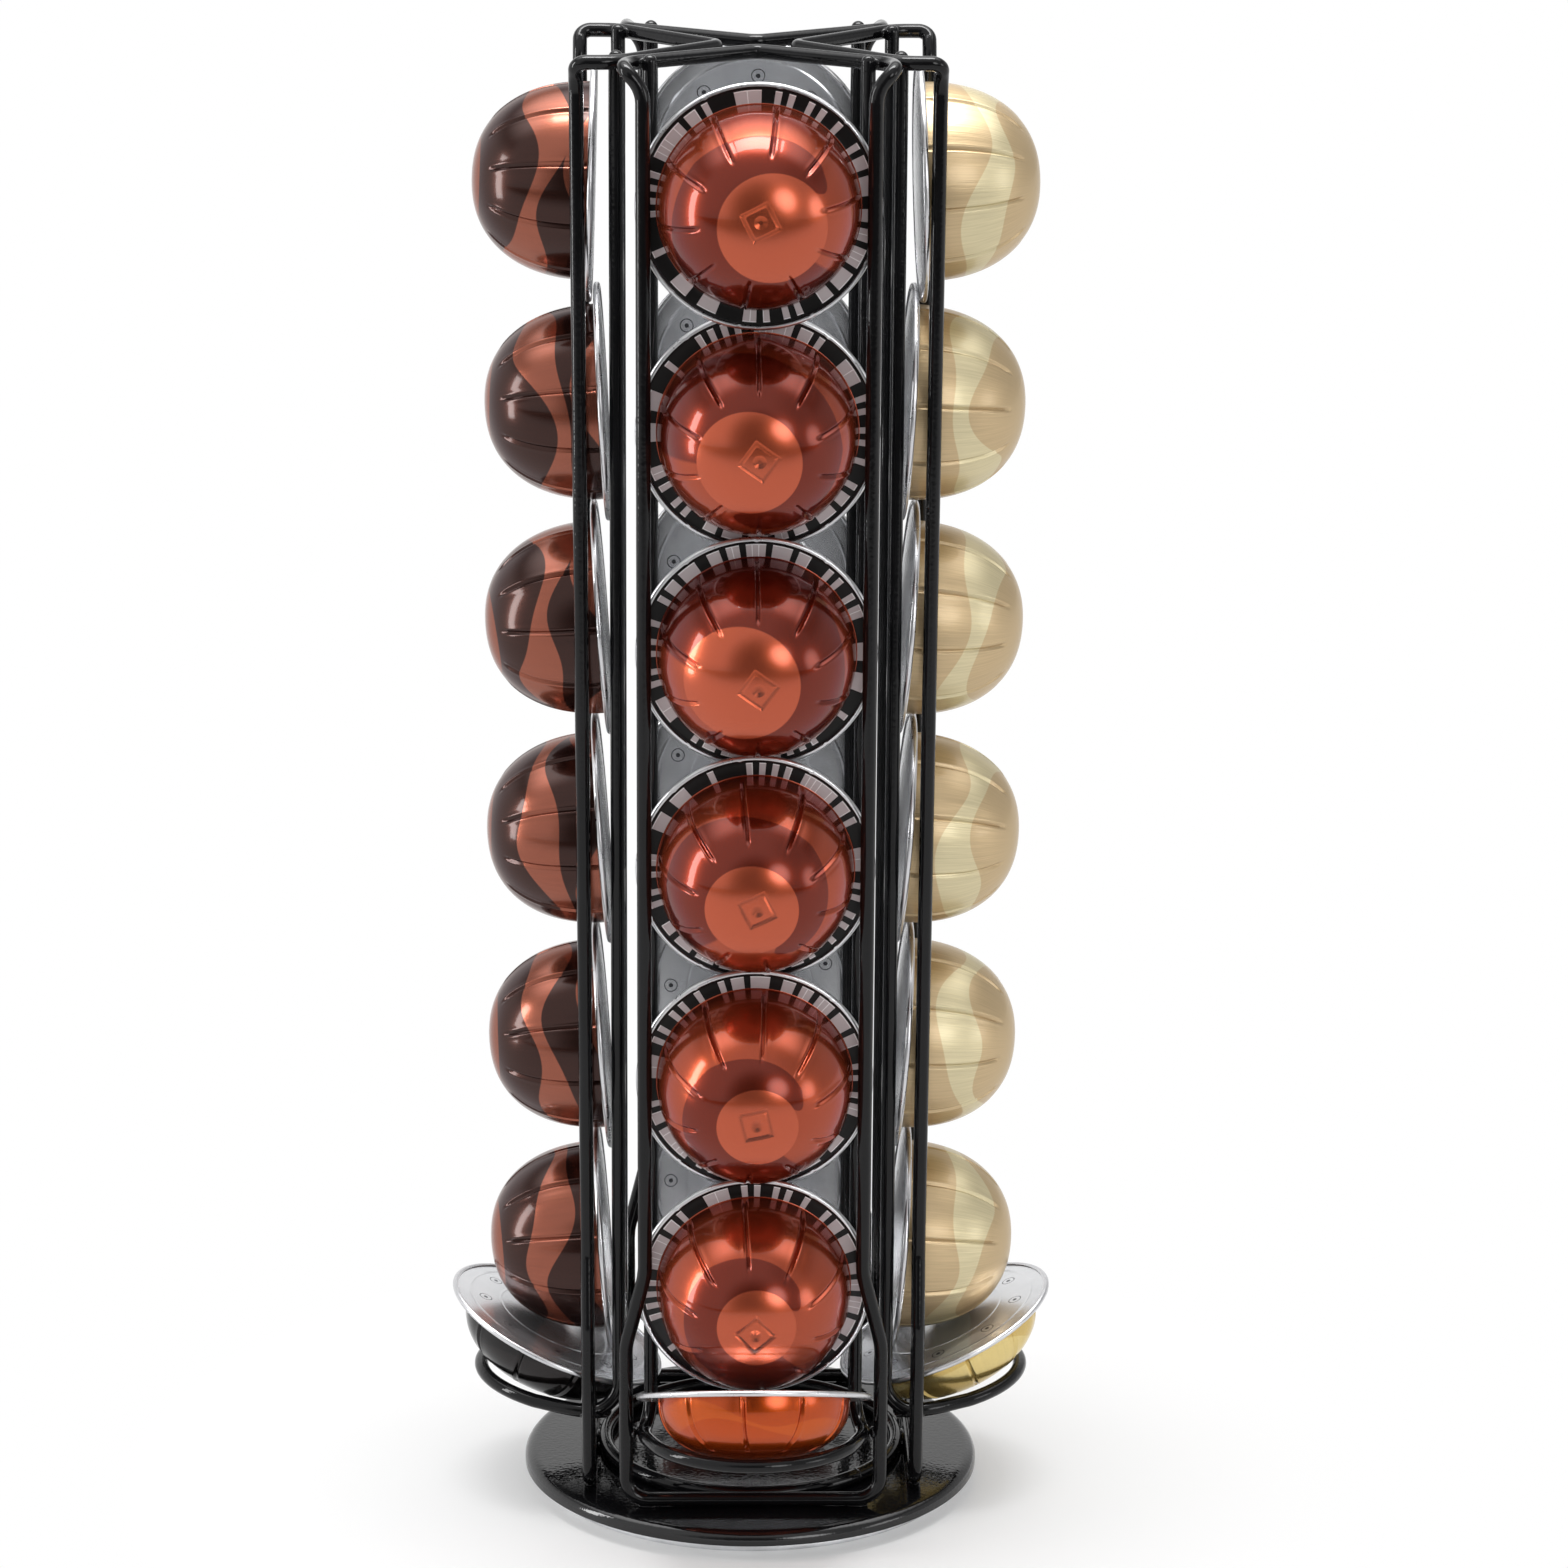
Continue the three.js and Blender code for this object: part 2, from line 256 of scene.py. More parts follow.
@dataclass
class BentWire:
    """A wire that runs straight from corner to corner and turns each on its radius."""

    corners: list[Corner]
    radius: float
    closed: bool = False
    tip_radius: float = 0.0
    bend_step: float = math.radians(6)
    fewest_bend_steps: int = 2
    tip_steps: int = 7
    last_tip_share: float = 0.97
    section_resolution: int = 6

    def stations(self) -> list[Vector]:
        """The points of the wire's centre line, with round stretches as short steps."""
        line: list[Vector] = []
        count = len(self.corners)
        for index, corner in enumerate(self.corners):
            if not corner.radius:
                line.append(corner.at)
                continue
            before = (corner.at - self.corners[index - 1].at).normalized()
            after = (self.corners[(index + 1) % count].at - corner.at).normalized()
            turn = before.angle(after)
            start = corner.at - before * corner.radius * math.tan(turn / 2)
            inward = (after - before).normalized()
            centre = corner.at + inward * corner.radius / math.cos(turn / 2)
            axis = before.cross(after).normalized()
            steps = max(self.fewest_bend_steps, math.ceil(turn / self.bend_step))
            for step in range(steps + 1):
                spoke = Matrix.Rotation(turn * step / steps, 3, axis) @ (start - centre)
                line.append(centre + spoke)
        return line

    def tip(self, end: Vector, inner: Vector) -> list[tuple[Vector, float]]:
        """Stations of a rounded tip and the share of the wire's radius at each.

        Args:
            end: The last station.
            inner: The station before it.

        Returns:
            Pairs of a place and a share, from the wire outwards.
        """
        along = (end - inner).normalized()
        stations = []
        for step in range(1, self.tip_steps + 1):
            angle = QUARTER_TURN * min(self.last_tip_share, step / self.tip_steps)
            stations.append((end + along * self.tip_radius * math.sin(angle), math.cos(angle)))
        return stations

    def build(self, name: str, turn: Matrix) -> Piece:
        """Bends the wire as a curve and makes it a mesh.

        Args:
            name: The name of the new object.
            turn: The turn that carries it to its column.

        Returns:
            The wire, with its place in its mesh.
        """
        line = [(point, 1.0) for point in self.stations()]
        if self.tip_radius:
            first = self.tip(line[0][0], line[1][0])
            last = self.tip(line[-1][0], line[-2][0])
            line = [*reversed(first), *line, *last]
        deselect_all()
        curve = bpy.data.curves.new(name, "CURVE")
        curve.dimensions = "3D"
        curve.bevel_depth = self.radius * METRES_PER_MM
        curve.bevel_resolution = self.section_resolution
        curve.use_fill_caps = not self.closed
        spline = curve.splines.new("POLY")
        spline.points.add(len(line) - 1)
        for point, (at, share) in zip(spline.points, line):
            point.co = (*(turn @ (at * METRES_PER_MM)), 1.0)
            point.radius = share
        spline.use_cyclic_u = self.closed
        piece = bpy.data.objects.new(name, curve)
        bpy.context.scene.collection.objects.link(piece)
        select_only(piece)
        bpy.ops.object.convert(target="MESH")
        bpy.ops.object.mode_set(mode="EDIT")
        close_mesh(WIRE_MERGE)
        smooth_by_angle(piece, WIRE_SMOOTH)
        return piece


def mirrored(side: Sequence[tuple[float, ...]], middle: Sequence[Corner]) -> list[Corner]:
    """The corners of a wire that runs the same way on both sides of its column.

    Args:
        side: Distance sideways, depth, height and bend of each corner of one side.
        middle: The corners between the two sides.

    Returns:
        The corners from the left side's first to the right side's first.
    """
    left, right = ([Corner(place(sign * lateral, depth, height), bend)
                    for lateral, depth, height, bend in side] for sign in (-1, 1))
    return [*left, *middle, *reversed(right)]


def weld_bead(at: Vector, size: Place, turn: Matrix, heading: float = 0.0) -> Piece:
    """A small melted bead between two wires.

    Args:
        at: Its middle, in millimetres, in the front column.
        size: Its half sizes along, across and up, in millimetres.
        turn: The turn that carries it to its column.
        heading: The angle of its long side from +X, in radians.

    Returns:
        The bead, with its place in its mesh.
    """
    deselect_all()
    bpy.ops.mesh.primitive_uv_sphere_add(segments=BEAD_SEGMENTS, ring_count=BEAD_RINGS,
                                         radius=METRES_PER_MM)
    bead = bpy.context.object
    bpy.ops.object.mode_set(mode="EDIT")
    bpy.ops.mesh.select_all(action="SELECT")
    bpy.ops.transform.resize(value=size, center_override=(0, 0, 0))
    bpy.ops.object.mode_set(mode="OBJECT")
    shift = Matrix.Translation(at * METRES_PER_MM)
    bead.data.transform(turn @ shift @ Matrix.Rotation(heading, 4, "Z"))
    bpy.ops.object.shade_smooth()
    return bead


class Polar(NamedTuple):
    """The angle of a place round its axis, its distance from it and its height, in millimetres."""

    angle: Socket
    radius: Socket
    height: Socket


class Board:
    """The nodes of one tree, wired by short calls."""

    # The numbers of a mix node's sockets: the share, the first and the second, and the result.
    COLOUR_MIX = ((0, 6, 7), 2)
    NUMBER_MIX = ((0, 2, 3), 0)

    def __init__(self, tree: bpy.types.NodeTree) -> None:
        """Takes up a node tree."""
        self.tree = tree

    def node(self, kind: str, **settings: object) -> bpy.types.Node:
        """Adds a node and sets its properties."""
        made = self.tree.nodes.new(kind)
        for key, value in settings.items():
            setattr(made, key, value)
        return made

    def feed(self, socket: Socket, value: object) -> None:
        """Links a socket to another, or sets its value."""
        if isinstance(value, bpy.types.NodeSocket):
            self.tree.links.new(value, socket)
        elif isinstance(value, tuple) and len(value) == 3 and socket.type == "RGBA":
            socket.default_value = (*value, 1.0)
        else:
            socket.default_value = value

    def feed_row(self, sockets: Sequence[Socket], *values: object) -> None:
        """Feeds sockets in their order."""
        for socket, value in zip(sockets, values):
            self.feed(socket, value)

    def fill(self, node: bpy.types.Node, **values: object) -> None:
        """Feeds a node's sockets, named with underscores for spaces."""
        for key, value in values.items():
            self.feed(node.inputs[key.replace("_", " ")], value)

    def math(self, operation: str, *values: object) -> Socket:
        """One sum of up to three values."""
        made = self.node("ShaderNodeMath", operation=operation)
        self.feed_row(made.inputs, *values)
        return made.outputs[0]

    def times(self, first: object, second: object) -> Socket:
        """The product of two values."""
        return self.math("MULTIPLY", first, second)

    def minus(self, first: object, second: object) -> Socket:
        """What is left of a value when another is taken away."""
        return self.math("SUBTRACT", first, second)

    def apart(self, first: object, second: object) -> Socket:
        """How far two values are apart."""
        return self.math("ABSOLUTE", self.minus(first, second))

    def length(self, across: Socket, along: Socket) -> Socket:
        """The length of two steps at a right angle."""
        squares = self.math("MULTIPLY_ADD", across, across, self.times(along, along))
        return self.math("SQRT", squares)

    def split(self, vector: Socket) -> list[Socket]:
        """The three parts of a vector."""
        made = self.node("ShaderNodeSeparateXYZ")
        self.feed(made.inputs[0], vector)
        return list(made.outputs)

    def combine(self, *parts: object) -> Socket:
        """A vector of three parts."""
        made = self.node("ShaderNodeCombineXYZ")
        self.feed_row(made.inputs, *parts)
        return made.outputs[0]

    def polar(self, where: Socket) -> Polar:
        """The polar place, in millimetres, of a place in metres."""
        across, along, height = (self.times(part, 1 / METRES_PER_MM) for part in self.split(where))
        return Polar(self.math("ARCTAN2", along, across), self.length(across, along), height)

    def object_place(self) -> Socket:
        """The place in the object's own coordinates."""
        return self.node("ShaderNodeTexCoord").outputs["Object"]

    def kept_place(self, name: str) -> Socket:
        """A place that a copied piece's surface keeps as an attribute."""
        return self.node("ShaderNodeAttribute", attribute_name=name).outputs["Vector"]

    def noise(self, where: object, scale: float, detail: float = 2.0) -> Socket:
        """Soft noise from 0 to 1."""
        made = self.node("ShaderNodeTexNoise")
        self.fill(made, Vector=where, Scale=scale, Detail=detail)
        return made.outputs["Fac"]

    def spread(self, value: object, low: float, high: float, to_low: float = 0.0,
               to_high: float = 1.0, shape: str = "LINEAR") -> Socket:
        """Carries a value from one range to another, held at its ends."""
        made = self.node("ShaderNodeMapRange", interpolation_type=shape)
        self.fill(made, Value=value, From_Min=low, From_Max=high, To_Min=to_low, To_Max=to_high)
        return made.outputs["Result"]

    def ease(self, value: object, edges: Pair, to: Pair) -> Socket:
        """Goes smoothly from one level to another between two values."""
        return self.spread(value, *edges, *to, shape="SMOOTHSTEP")

    def mix(self, share: object, first: object, second: object, blend: str = "MIX") -> Socket:
        """A colour between two, by a share."""
        made = self.node("ShaderNodeMix", data_type="RGBA", blend_type=blend)
        sockets, result = self.COLOUR_MIX
        self.feed_row([made.inputs[index] for index in sockets], share, first, second)
        return made.outputs[result]

    def between(self, share: object, first: object, second: object) -> Socket:
        """A number between two, by a share."""
        made = self.node("ShaderNodeMix", data_type="FLOAT")
        sockets, result = self.NUMBER_MIX
        self.feed_row([made.inputs[index] for index in sockets], share, first, second)
        return made.outputs[result]

    def blend(self, share: object, first: Socket, second: Socket) -> Socket:
        """A shader between two, by a share."""
        made = self.node("ShaderNodeMixShader")
        self.feed_row(made.inputs, share, first, second)
        return made.outputs[0]

    def ray(self, kind: str) -> Socket:
        """1 for a ray of one kind and 0 for the others."""
        return self.node("ShaderNodeLightPath").outputs[f"Is {kind} Ray"]

    def seen_ray(self) -> Socket:
        """1 for a ray that the camera, a gloss or glass sends out, and 0 for the others."""
        seen = self.math("MAXIMUM", self.ray("Camera"), self.ray("Glossy"))
        return self.math("MAXIMUM", seen, self.ray("Transmission"))


class MaterialBoard(Board):
    """The nodes of one material, round its Principled shader."""

    def __init__(self, name: str) -> None:
        """Starts a material."""
        self.material = bpy.data.materials.new(name)
        self.material.use_nodes = True
        super().__init__(self.material.node_tree)
        self.shader = self.tree.nodes["Principled BSDF"]

    def set(self, **values: object) -> None:
        """Sets the shader's own sockets, named with underscores for spaces."""
        self.fill(self.shader, **values)

    def bump(self, height: object, depth: float) -> None:
        """Raises the surface by a height from 0 to 1, over a depth in metres."""
        made = self.node("ShaderNodeBump")
        self.fill(made, Height=height, Distance=depth)
        self.feed(self.shader.inputs["Normal"], made.outputs[0])


@dataclass(frozen=True)
class CloudedFinish:
    """A plain surface whose tone and gloss drift in soft clouds over a fine grain."""

    name: str
    first: Colour
    second: Colour
    smooth: float
    dull: float
    metallic: float = 0.0
    gloss: float = 0.5
    cloud_scale: float = 60.0
    cloud_detail: float = 4.0
    tone_edges: Pair = (0.3, 0.7)
    gloss_edges: Pair = (0.3, 0.7)
    grain_scale: float = 900.0
    grain_detail: float = 1.0
    grain_depth: float = 0.00004
    on_capsule: bool = False

    def material(self) -> Material:
        """Builds the material."""
        board = MaterialBoard(self.name)
        where = board.kept_place(OWN_PLACE) if self.on_capsule else board.object_place()
        cloud = board.noise(where, self.cloud_scale, self.cloud_detail)
        roughness = self.smooth
        if self.dull != self.smooth:
            roughness = board.spread(cloud, *self.gloss_edges, self.smooth, self.dull)
        board.set(
            Base_Color=board.mix(board.spread(cloud, *self.tone_edges), self.first, self.second),
            Metallic=self.metallic,
            Roughness=roughness,
            Specular_IOR_Level=self.gloss,
        )
        if self.grain_depth:
            grain = board.noise(where, self.grain_scale, self.grain_detail)
            board.bump(grain, self.grain_depth)
        return board.material


@dataclass(frozen=True)
class DomeLacquer:
    """Tinted clear lacquer on drawn foil, printed with soft shapes, lengths in millimetres."""

    name: str
    ground: Colour
    wave: Colour
    edge_tint: Colour
    metallic: float = 0.78
    roughness: float = 0.25
    roughness_swing: float = 0.02
    coat: float = 0.7
    coat_roughness: float = 0.05
    coat_ior: float = 1.38
    streaks: float = 0.02
    streak_depth: float = 0.003
    streak_count: float = 42.0
    streak_rise: float = 0.09
    streak_edges: Pair = (0.25, 0.75)
    streak_start: float = 12.0
    streak_growth: float = 1.6
    print_edge: float = 0.12
    mark_radius: float = 3.4
    mark_rounding: float = 0.9
    mark_line: float = 0.6
    mark_depth: float = 0.4
    # How far the pressed mark's sunk frame and dimple are darkened in the colour: painted shade in
    # the recess.
    mark_painted_shade: float = 0.3
    dimple_shares: Pair = (0.15, 0.5)

    def material(self) -> Material:
        """Builds the material."""
        board = MaterialBoard(self.name)
        tone = self.tones(board, board.polar(board.kept_place(PRINT_PLACE)))
        where = board.polar(board.kept_place(OWN_PLACE))
        drawn = board.noise(board.combine(
            board.times(board.math("COSINE", where.angle), self.streak_count),
            board.times(board.math("SINE", where.angle), self.streak_count),
            board.times(where.height, self.streak_rise)), 1.0)
        reach = board.spread(where.radius, self.streak_start,
                             self.streak_start * self.streak_growth)
        swing = board.spread(drawn, *self.streak_edges, -1.0, 1.0)
        streak = board.math("MULTIPLY_ADD", swing, board.times(reach, self.streaks), 1.0)
        mark = self.mark(board, where.radius)
        # The base colour is darkened in the pressed frame and dimple, which the bump also sinks:
        # painted shade in their recesses. The level multiplies it with the streaks' tone.
        painted_recess_shade = board.math("MULTIPLY_ADD", mark, self.mark_painted_shade, 1.0 - self.mark_painted_shade)
        level = board.times(streak, painted_recess_shade)
        board.set(
            Base_Color=board.mix(1.0, tone, board.combine(level, level, level), "MULTIPLY"),
            Metallic=self.metallic,
            Specular_Tint=self.edge_tint,
            Roughness=board.math("MULTIPLY_ADD", board.times(swing, reach), self.roughness_swing,
                                 self.roughness),
            Coat_Weight=self.coat,
            Coat_Roughness=self.coat_roughness,
            Coat_IOR=self.coat_ior,
        )
        wrinkles = board.times(board.times(drawn, reach), self.streak_depth)
        board.bump(board.math("MULTIPLY_ADD", mark, self.mark_depth, wrinkles), METRES_PER_MM)
        return board.material

    def tones(self, board: Board, where: Polar) -> Socket:
        """The printed colour at a place on the dome.

        Args:
            board: The material's nodes.
            where: The place in the print.

        Returns:
            The colour.
        """
        raise NotImplementedError

    def inside(self, board: Board, distance: Socket, edge: float) -> Socket:
        """1 where a distance is below an edge and 0 where it is above."""
        return board.spread(board.minus(distance, edge), -self.print_edge, self.print_edge,
                            1.0, 0.0)

    def mark(self, board: Board, radius: Socket) -> Socket:
        """The plain pressed mark on the dome's top: a square frame round a small dimple."""
        across, along, _ = (board.math("ABSOLUTE", board.times(part, 1 / METRES_PER_MM))
                            for part in board.split(board.kept_place(OWN_PLACE)))
        square = board.math("SMOOTH_MAX", across, along, self.mark_rounding)
        line = board.spread(board.apart(square, self.mark_radius), 0.0, self.mark_line, 1.0, 0.0)
        middle, edge = (self.mark_radius * share for share in self.dimple_shares)
        dimple = board.spread(radius, middle, edge, 1.0, 0.0)
        return board.minus(1.0, board.math("MAXIMUM", line, dimple))


@dataclass(frozen=True)
class SwirlLacquer(DomeLacquer):
    """A dome with a plain disc on top and one dark comma that curls round it."""

    disc: Colour = (0.8, 0.2, 0.1)
    disc_radius: float = 11.5
    tail_radius: float = 13.0
    tail_width: float = 2.4
    tail_bluntness: float = 0.3
    wobble: float = 0.5
    wobble_waves: float = 2.3
    comma_growth: float = 5.6
    growth_edges: Pair = (0.2, 1.9)
    comma_end: float = 5.0
    comma_end_width: float = 0.05

    def tones(self, board: Board, where: Polar) -> Socket:
        """The printed colour at a place on the dome, by the same terms as for any dome."""
        turned = board.math("WRAP", where.angle, FULL_TURN, 0.0)
        blunt = board.math("SQRT", board.spread(turned, 0.0, self.tail_bluntness))
        wobble = board.times(board.math("SINE", board.times(turned, self.wobble_waves)),
                             self.wobble)
        grown = board.spread(turned, *self.growth_edges, self.tail_width,
                             self.tail_width + self.comma_growth)
        half = board.times(board.math("ADD", grown, wobble), blunt)
        comma = self.inside(board, board.apart(where.radius, self.tail_radius), half)
        comma = board.times(comma, board.spread(turned, self.comma_end, self.comma_end +
                                                self.comma_end_width, 1.0, 0.0))
        tone = board.mix(comma, self.wave, self.ground)
        disc = self.inside(board, where.radius, self.disc_radius)
        return board.mix(disc, tone, self.disc)


class Ripple(NamedTuple):
    """Waves round a dome: how many and where they start, and what each next band adds."""

    waves: float
    start: float
    more_waves: float
    more_start: float


@dataclass(frozen=True)
class BandLacquer(DomeLacquer):
    """A dome with wavy bands round it in a second tone."""

    bands: tuple[Point, ...] = ((8.0, 2.0),)
    band_swing: float = 2.6
    slow: Ripple = Ripple(2.0, 0.4, 1.0, 1.9)
    quick: Ripple = Ripple(5.0, 1.3, -1.0, 1.0)
    quick_share: float = 0.35
    slant: Ripple = Ripple(3.0, 0.6, 0.0, 2.2)
    slant_share: float = 0.6
    cap_radius: float = 0.0

    def ripple(self, board: Board, angle: Socket, shape: Ripple, band: int) -> Socket:
        """The height of one band's waves at an angle, from -1 to 1."""
        waves = shape.waves + shape.more_waves * band
        start = shape.start + shape.more_start * band
        return board.math("SINE", board.math("MULTIPLY_ADD", angle, waves, start))

    def tones(self, board: Board, where: Polar) -> Socket:
        """The printed colour at a place on the dome, by the same terms as for any dome."""
        tone = self.ground
        for band, (middle, width) in enumerate(self.bands):
            slow, quick, slant = (self.ripple(board, where.angle, shape, band)
                                  for shape in (self.slow, self.quick, self.slant))
            wobble = board.math("MULTIPLY_ADD", quick, self.quick_share, slow)
            centre = board.math("MULTIPLY_ADD", wobble, self.band_swing, middle)
            half = board.math("MULTIPLY_ADD", slant, self.band_swing * self.slant_share, width)
            inside = self.inside(board, board.apart(where.height, centre), half)
            tone = board.mix(inside, tone, self.wave)
        if self.cap_radius:
            cap = self.inside(board, where.radius, self.cap_radius)
            tone = board.mix(cap, tone, self.wave)
        return tone


@dataclass(frozen=True)
class BandPrint:
    """Narrow dark and pale blocks of uneven width, printed round a capsule's flange."""

    dark: Colour = (0.005, 0.0045, 0.0045)
    pale: Colour = (0.57, 0.525, 0.535)
    line: Colour = (0.86, 0.85, 0.86)
    cells: float = 104.0
    dark_share: float = 0.5
    plain_share: float = 0.7
    second_draw: float = 500.0
    side_line: float = 0.16
    line_radius: float = 28.4
    line_width: float = 0.14
    metallic: float = 0.1
    roughness: float = 0.34
    gloss: float = 0.25
    grain_scale: float = 900.0
    grain_depth: float = 0.00001

    def material(self) -> Material:
        """Builds the material."""
        board = MaterialBoard("capsule_flange_print")
        own = board.kept_place(OWN_PLACE)
        where = board.polar(own)
        turn = board.times(where.angle, self.cells / FULL_TURN)
        cell = board.math("FLOOR", turn)
        block = board.math("GREATER_THAN", self.draw(board, cell), self.dark_share)
        second = self.draw(board, board.math("ADD", cell, self.second_draw))
        lined = board.math("GREATER_THAN", second, self.plain_share)
        near_side = board.math("LESS_THAN", board.math("FRACT", turn), self.side_line)
        off = board.apart(where.radius, self.line_radius)
        ring = board.math("LESS_THAN", off, self.line_width)
        inner = board.math("LESS_THAN", where.radius, self.line_radius + self.line_width)
        block = board.times(block, inner)
        line = board.times(block, board.math("MAXIMUM", ring, board.times(lined, near_side)))
        board.set(
            Base_Color=board.mix(line, board.mix(block, self.dark, self.pale), self.line),
            Metallic=self.metallic,
            Roughness=self.roughness,
            Specular_IOR_Level=self.gloss,
        )
        board.bump(board.noise(own, self.grain_scale), self.grain_depth)
        return board.material

    def draw(self, board: Board, cell: Socket) -> Socket:
        """A fixed random number from 0 to 1 for one cell of the band."""
        made = board.node("ShaderNodeTexWhiteNoise", noise_dimensions="1D")
        board.feed(made.inputs["W"], cell)
        return made.outputs["Value"]


@dataclass(frozen=True)
class FoilBack:
    """Satin aluminium foil with a fine grain, pressed rings and plain round printed marks."""

    colour: Colour = (0.72, 0.73, 0.75)
    bright: Colour = (0.78, 0.79, 0.81)
    ink: Colour = (0.10, 0.10, 0.11)
    metallic: float = 0.8
    smooth: float = 0.21
    dull: float = 0.26
    cloud_scale: float = 160.0
    cloud_detail: float = 4.0
    cloud_edges: Pair = (0.3, 0.7)
    mark_count: float = 9.0
    mark_reach: float = 21.5
    mark_radius: float = 1.7
    mark_line: float = 0.13
    mark_dot_share: float = 0.35
    grain_scale: float = 1400.0
    grain_height: float = 0.004
    ring_radii: Pair = (25.6, 17.0)
    ring_half_width: float = 0.5
    ring_height: float = 0.12

    def material(self) -> Material:
        """Builds the material."""
        board = MaterialBoard("capsule_foil_back")
        own = board.kept_place(OWN_PLACE)
        where = board.polar(own)
        cloud = board.noise(own, self.cloud_scale, self.cloud_detail)
        turn = board.math("FRACT", board.times(where.angle, self.mark_count / FULL_TURN))
        across = board.times(board.minus(turn, 0.5), FULL_TURN * self.mark_reach / self.mark_count)
        from_mark = board.length(across, board.minus(where.radius, self.mark_reach))
        outline = board.math("LESS_THAN", board.apart(from_mark, self.mark_radius), self.mark_line)
        dot = board.math("LESS_THAN", from_mark, self.mark_radius * self.mark_dot_share)
        tone = board.mix(board.spread(cloud, *self.cloud_edges), self.colour, self.bright)
        board.set(
            Base_Color=board.mix(board.math("MAXIMUM", outline, dot), tone, self.ink),
            Metallic=self.metallic,
            Roughness=board.spread(cloud, *self.cloud_edges, self.smooth, self.dull),
        )
        grain = board.node("ShaderNodeTexVoronoi", feature="F1")
        board.fill(grain, Vector=own, Scale=self.grain_scale)
        height = board.times(grain.outputs["Distance"], self.grain_height)
        for ring_radius in self.ring_radii:
            ring = board.spread(board.apart(where.radius, ring_radius), 0.0, self.ring_half_width,
                                self.ring_height, 0.0)
            height = board.math("ADD", height, ring)
        board.bump(height, METRES_PER_MM)
        return board.material


# Glossy black powder coat with a faint orange peel, once on the wires and once on the plate.
BLACK, WORN_BLACK = (0.0035, 0.0035, 0.004), (0.007, 0.007, 0.008)
WIRE_COAT = CloudedFinish("wire_black_coat", BLACK, WORN_BLACK, 0.04, 0.08, gloss=0.26,
                          tone_edges=(0.35, 0.75))
PLATE_COAT = CloudedFinish("plate_black_coat", BLACK, WORN_BLACK, 0.05, 0.1,
                           tone_edges=(0.35, 0.75))

# Zinc plated and bare steel with fine marks, soft rubber, and the capsules' rolled edge.
DISC_STEEL = CloudedFinish("galvanised_disc_steel", (0.576, 0.584, 0.6), (0.8064, 0.8176, 0.84),
                           0.32, 0.46, metallic=1.0, cloud_scale=110.0, cloud_detail=5.0,
                           grain_scale=700.0, grain_detail=3.0, grain_depth=0.00002)
BEARING_STEEL = CloudedFinish("polished_bearing_steel", (0.576, 0.576, 0.592),
                              (0.8064, 0.8064, 0.8288), 0.16, 0.28, metallic=1.0,
                              cloud_scale=110.0, cloud_detail=5.0, grain_scale=700.0,
                              grain_detail=3.0, grain_depth=0.00002)
SOFT_RUBBER = CloudedFinish("soft_rubber", (0.02, 0.02, 0.022), (0.035, 0.035, 0.037), 0.85, 0.85,
                            cloud_scale=300.0, cloud_detail=3.0, tone_edges=(0.0, 1.0),
                            grain_scale=1500.0, grain_detail=2.0, grain_depth=0.00006)
RIM_METAL = CloudedFinish("capsule_rim_metal", (0.60, 0.60, 0.62), (0.68, 0.68, 0.69), 0.26, 0.34,
                          metallic=1.0, cloud_scale=500.0, cloud_detail=2.0,
                          tone_edges=(0.0, 1.0), grain_depth=0.0, on_capsule=True)

COPPER_RED = SwirlLacquer("copper_red_lacquer", (0.155, 0.017, 0.006), (0.35, 0.058, 0.022),
                          (0.5, 0.22, 0.16), disc=(0.46, 0.088, 0.038))
BRIGHT_ORANGE = BandLacquer("bright_orange_lacquer", (0.44, 0.058, 0.005), (0.50, 0.080, 0.008),
                            (0.7, 0.4, 0.2))
CHAMPAGNE = BandLacquer("champagne_lacquer", (0.54, 0.405, 0.235), (0.64, 0.56, 0.355),
                        (0.8, 0.75, 0.65), roughness=0.42, coat=0.4, streaks=0.1,
                        streak_depth=0.055, streak_count=60.0, bands=((16.5, 3.8),),
                        band_swing=3.0)
WARM_GOLD = BandLacquer("warm_gold_lacquer", (0.64, 0.46, 0.15), (0.74, 0.58, 0.24),
                        (0.8, 0.7, 0.4), streaks=0.05, streak_depth=0.015)
CHESTNUT = SwirlLacquer("chestnut_lacquer", (0.09, 0.022, 0.010), (0.24, 0.075, 0.035),
                        (0.5, 0.35, 0.3), disc=(0.30, 0.10, 0.05))
PLAIN_CHESTNUT = BandLacquer("plain_chestnut_lacquer", (0.14, 0.036, 0.018), (0.20, 0.055, 0.03),
                             (0.5, 0.35, 0.3))
DARK_BROWN = BandLacquer("dark_brown_lacquer", (0.032, 0.010, 0.007), (0.27, 0.078, 0.045),
                         (0.5, 0.35, 0.3), coat=0.65, coat_roughness=0.1, streaks=0.06,
                         streak_depth=0.012, bands=((14.0, 3.6), (0.2, 2.2)), band_swing=3.2,
                         cap_radius=11.5)
NEAR_BLACK = BandLacquer("near_black_lacquer", (0.010, 0.009, 0.009), (0.016, 0.013, 0.013),
                         (0.5, 0.5, 0.5))
DOME_FINISHES = {
    Side.FRONT: (COPPER_RED, BRIGHT_ORANGE),
    Side.RIGHT: (CHAMPAGNE, WARM_GOLD),
    Side.REAR: (CHESTNUT, PLAIN_CHESTNUT),
    Side.LEFT: (DARK_BROWN, NEAR_BLACK),
}


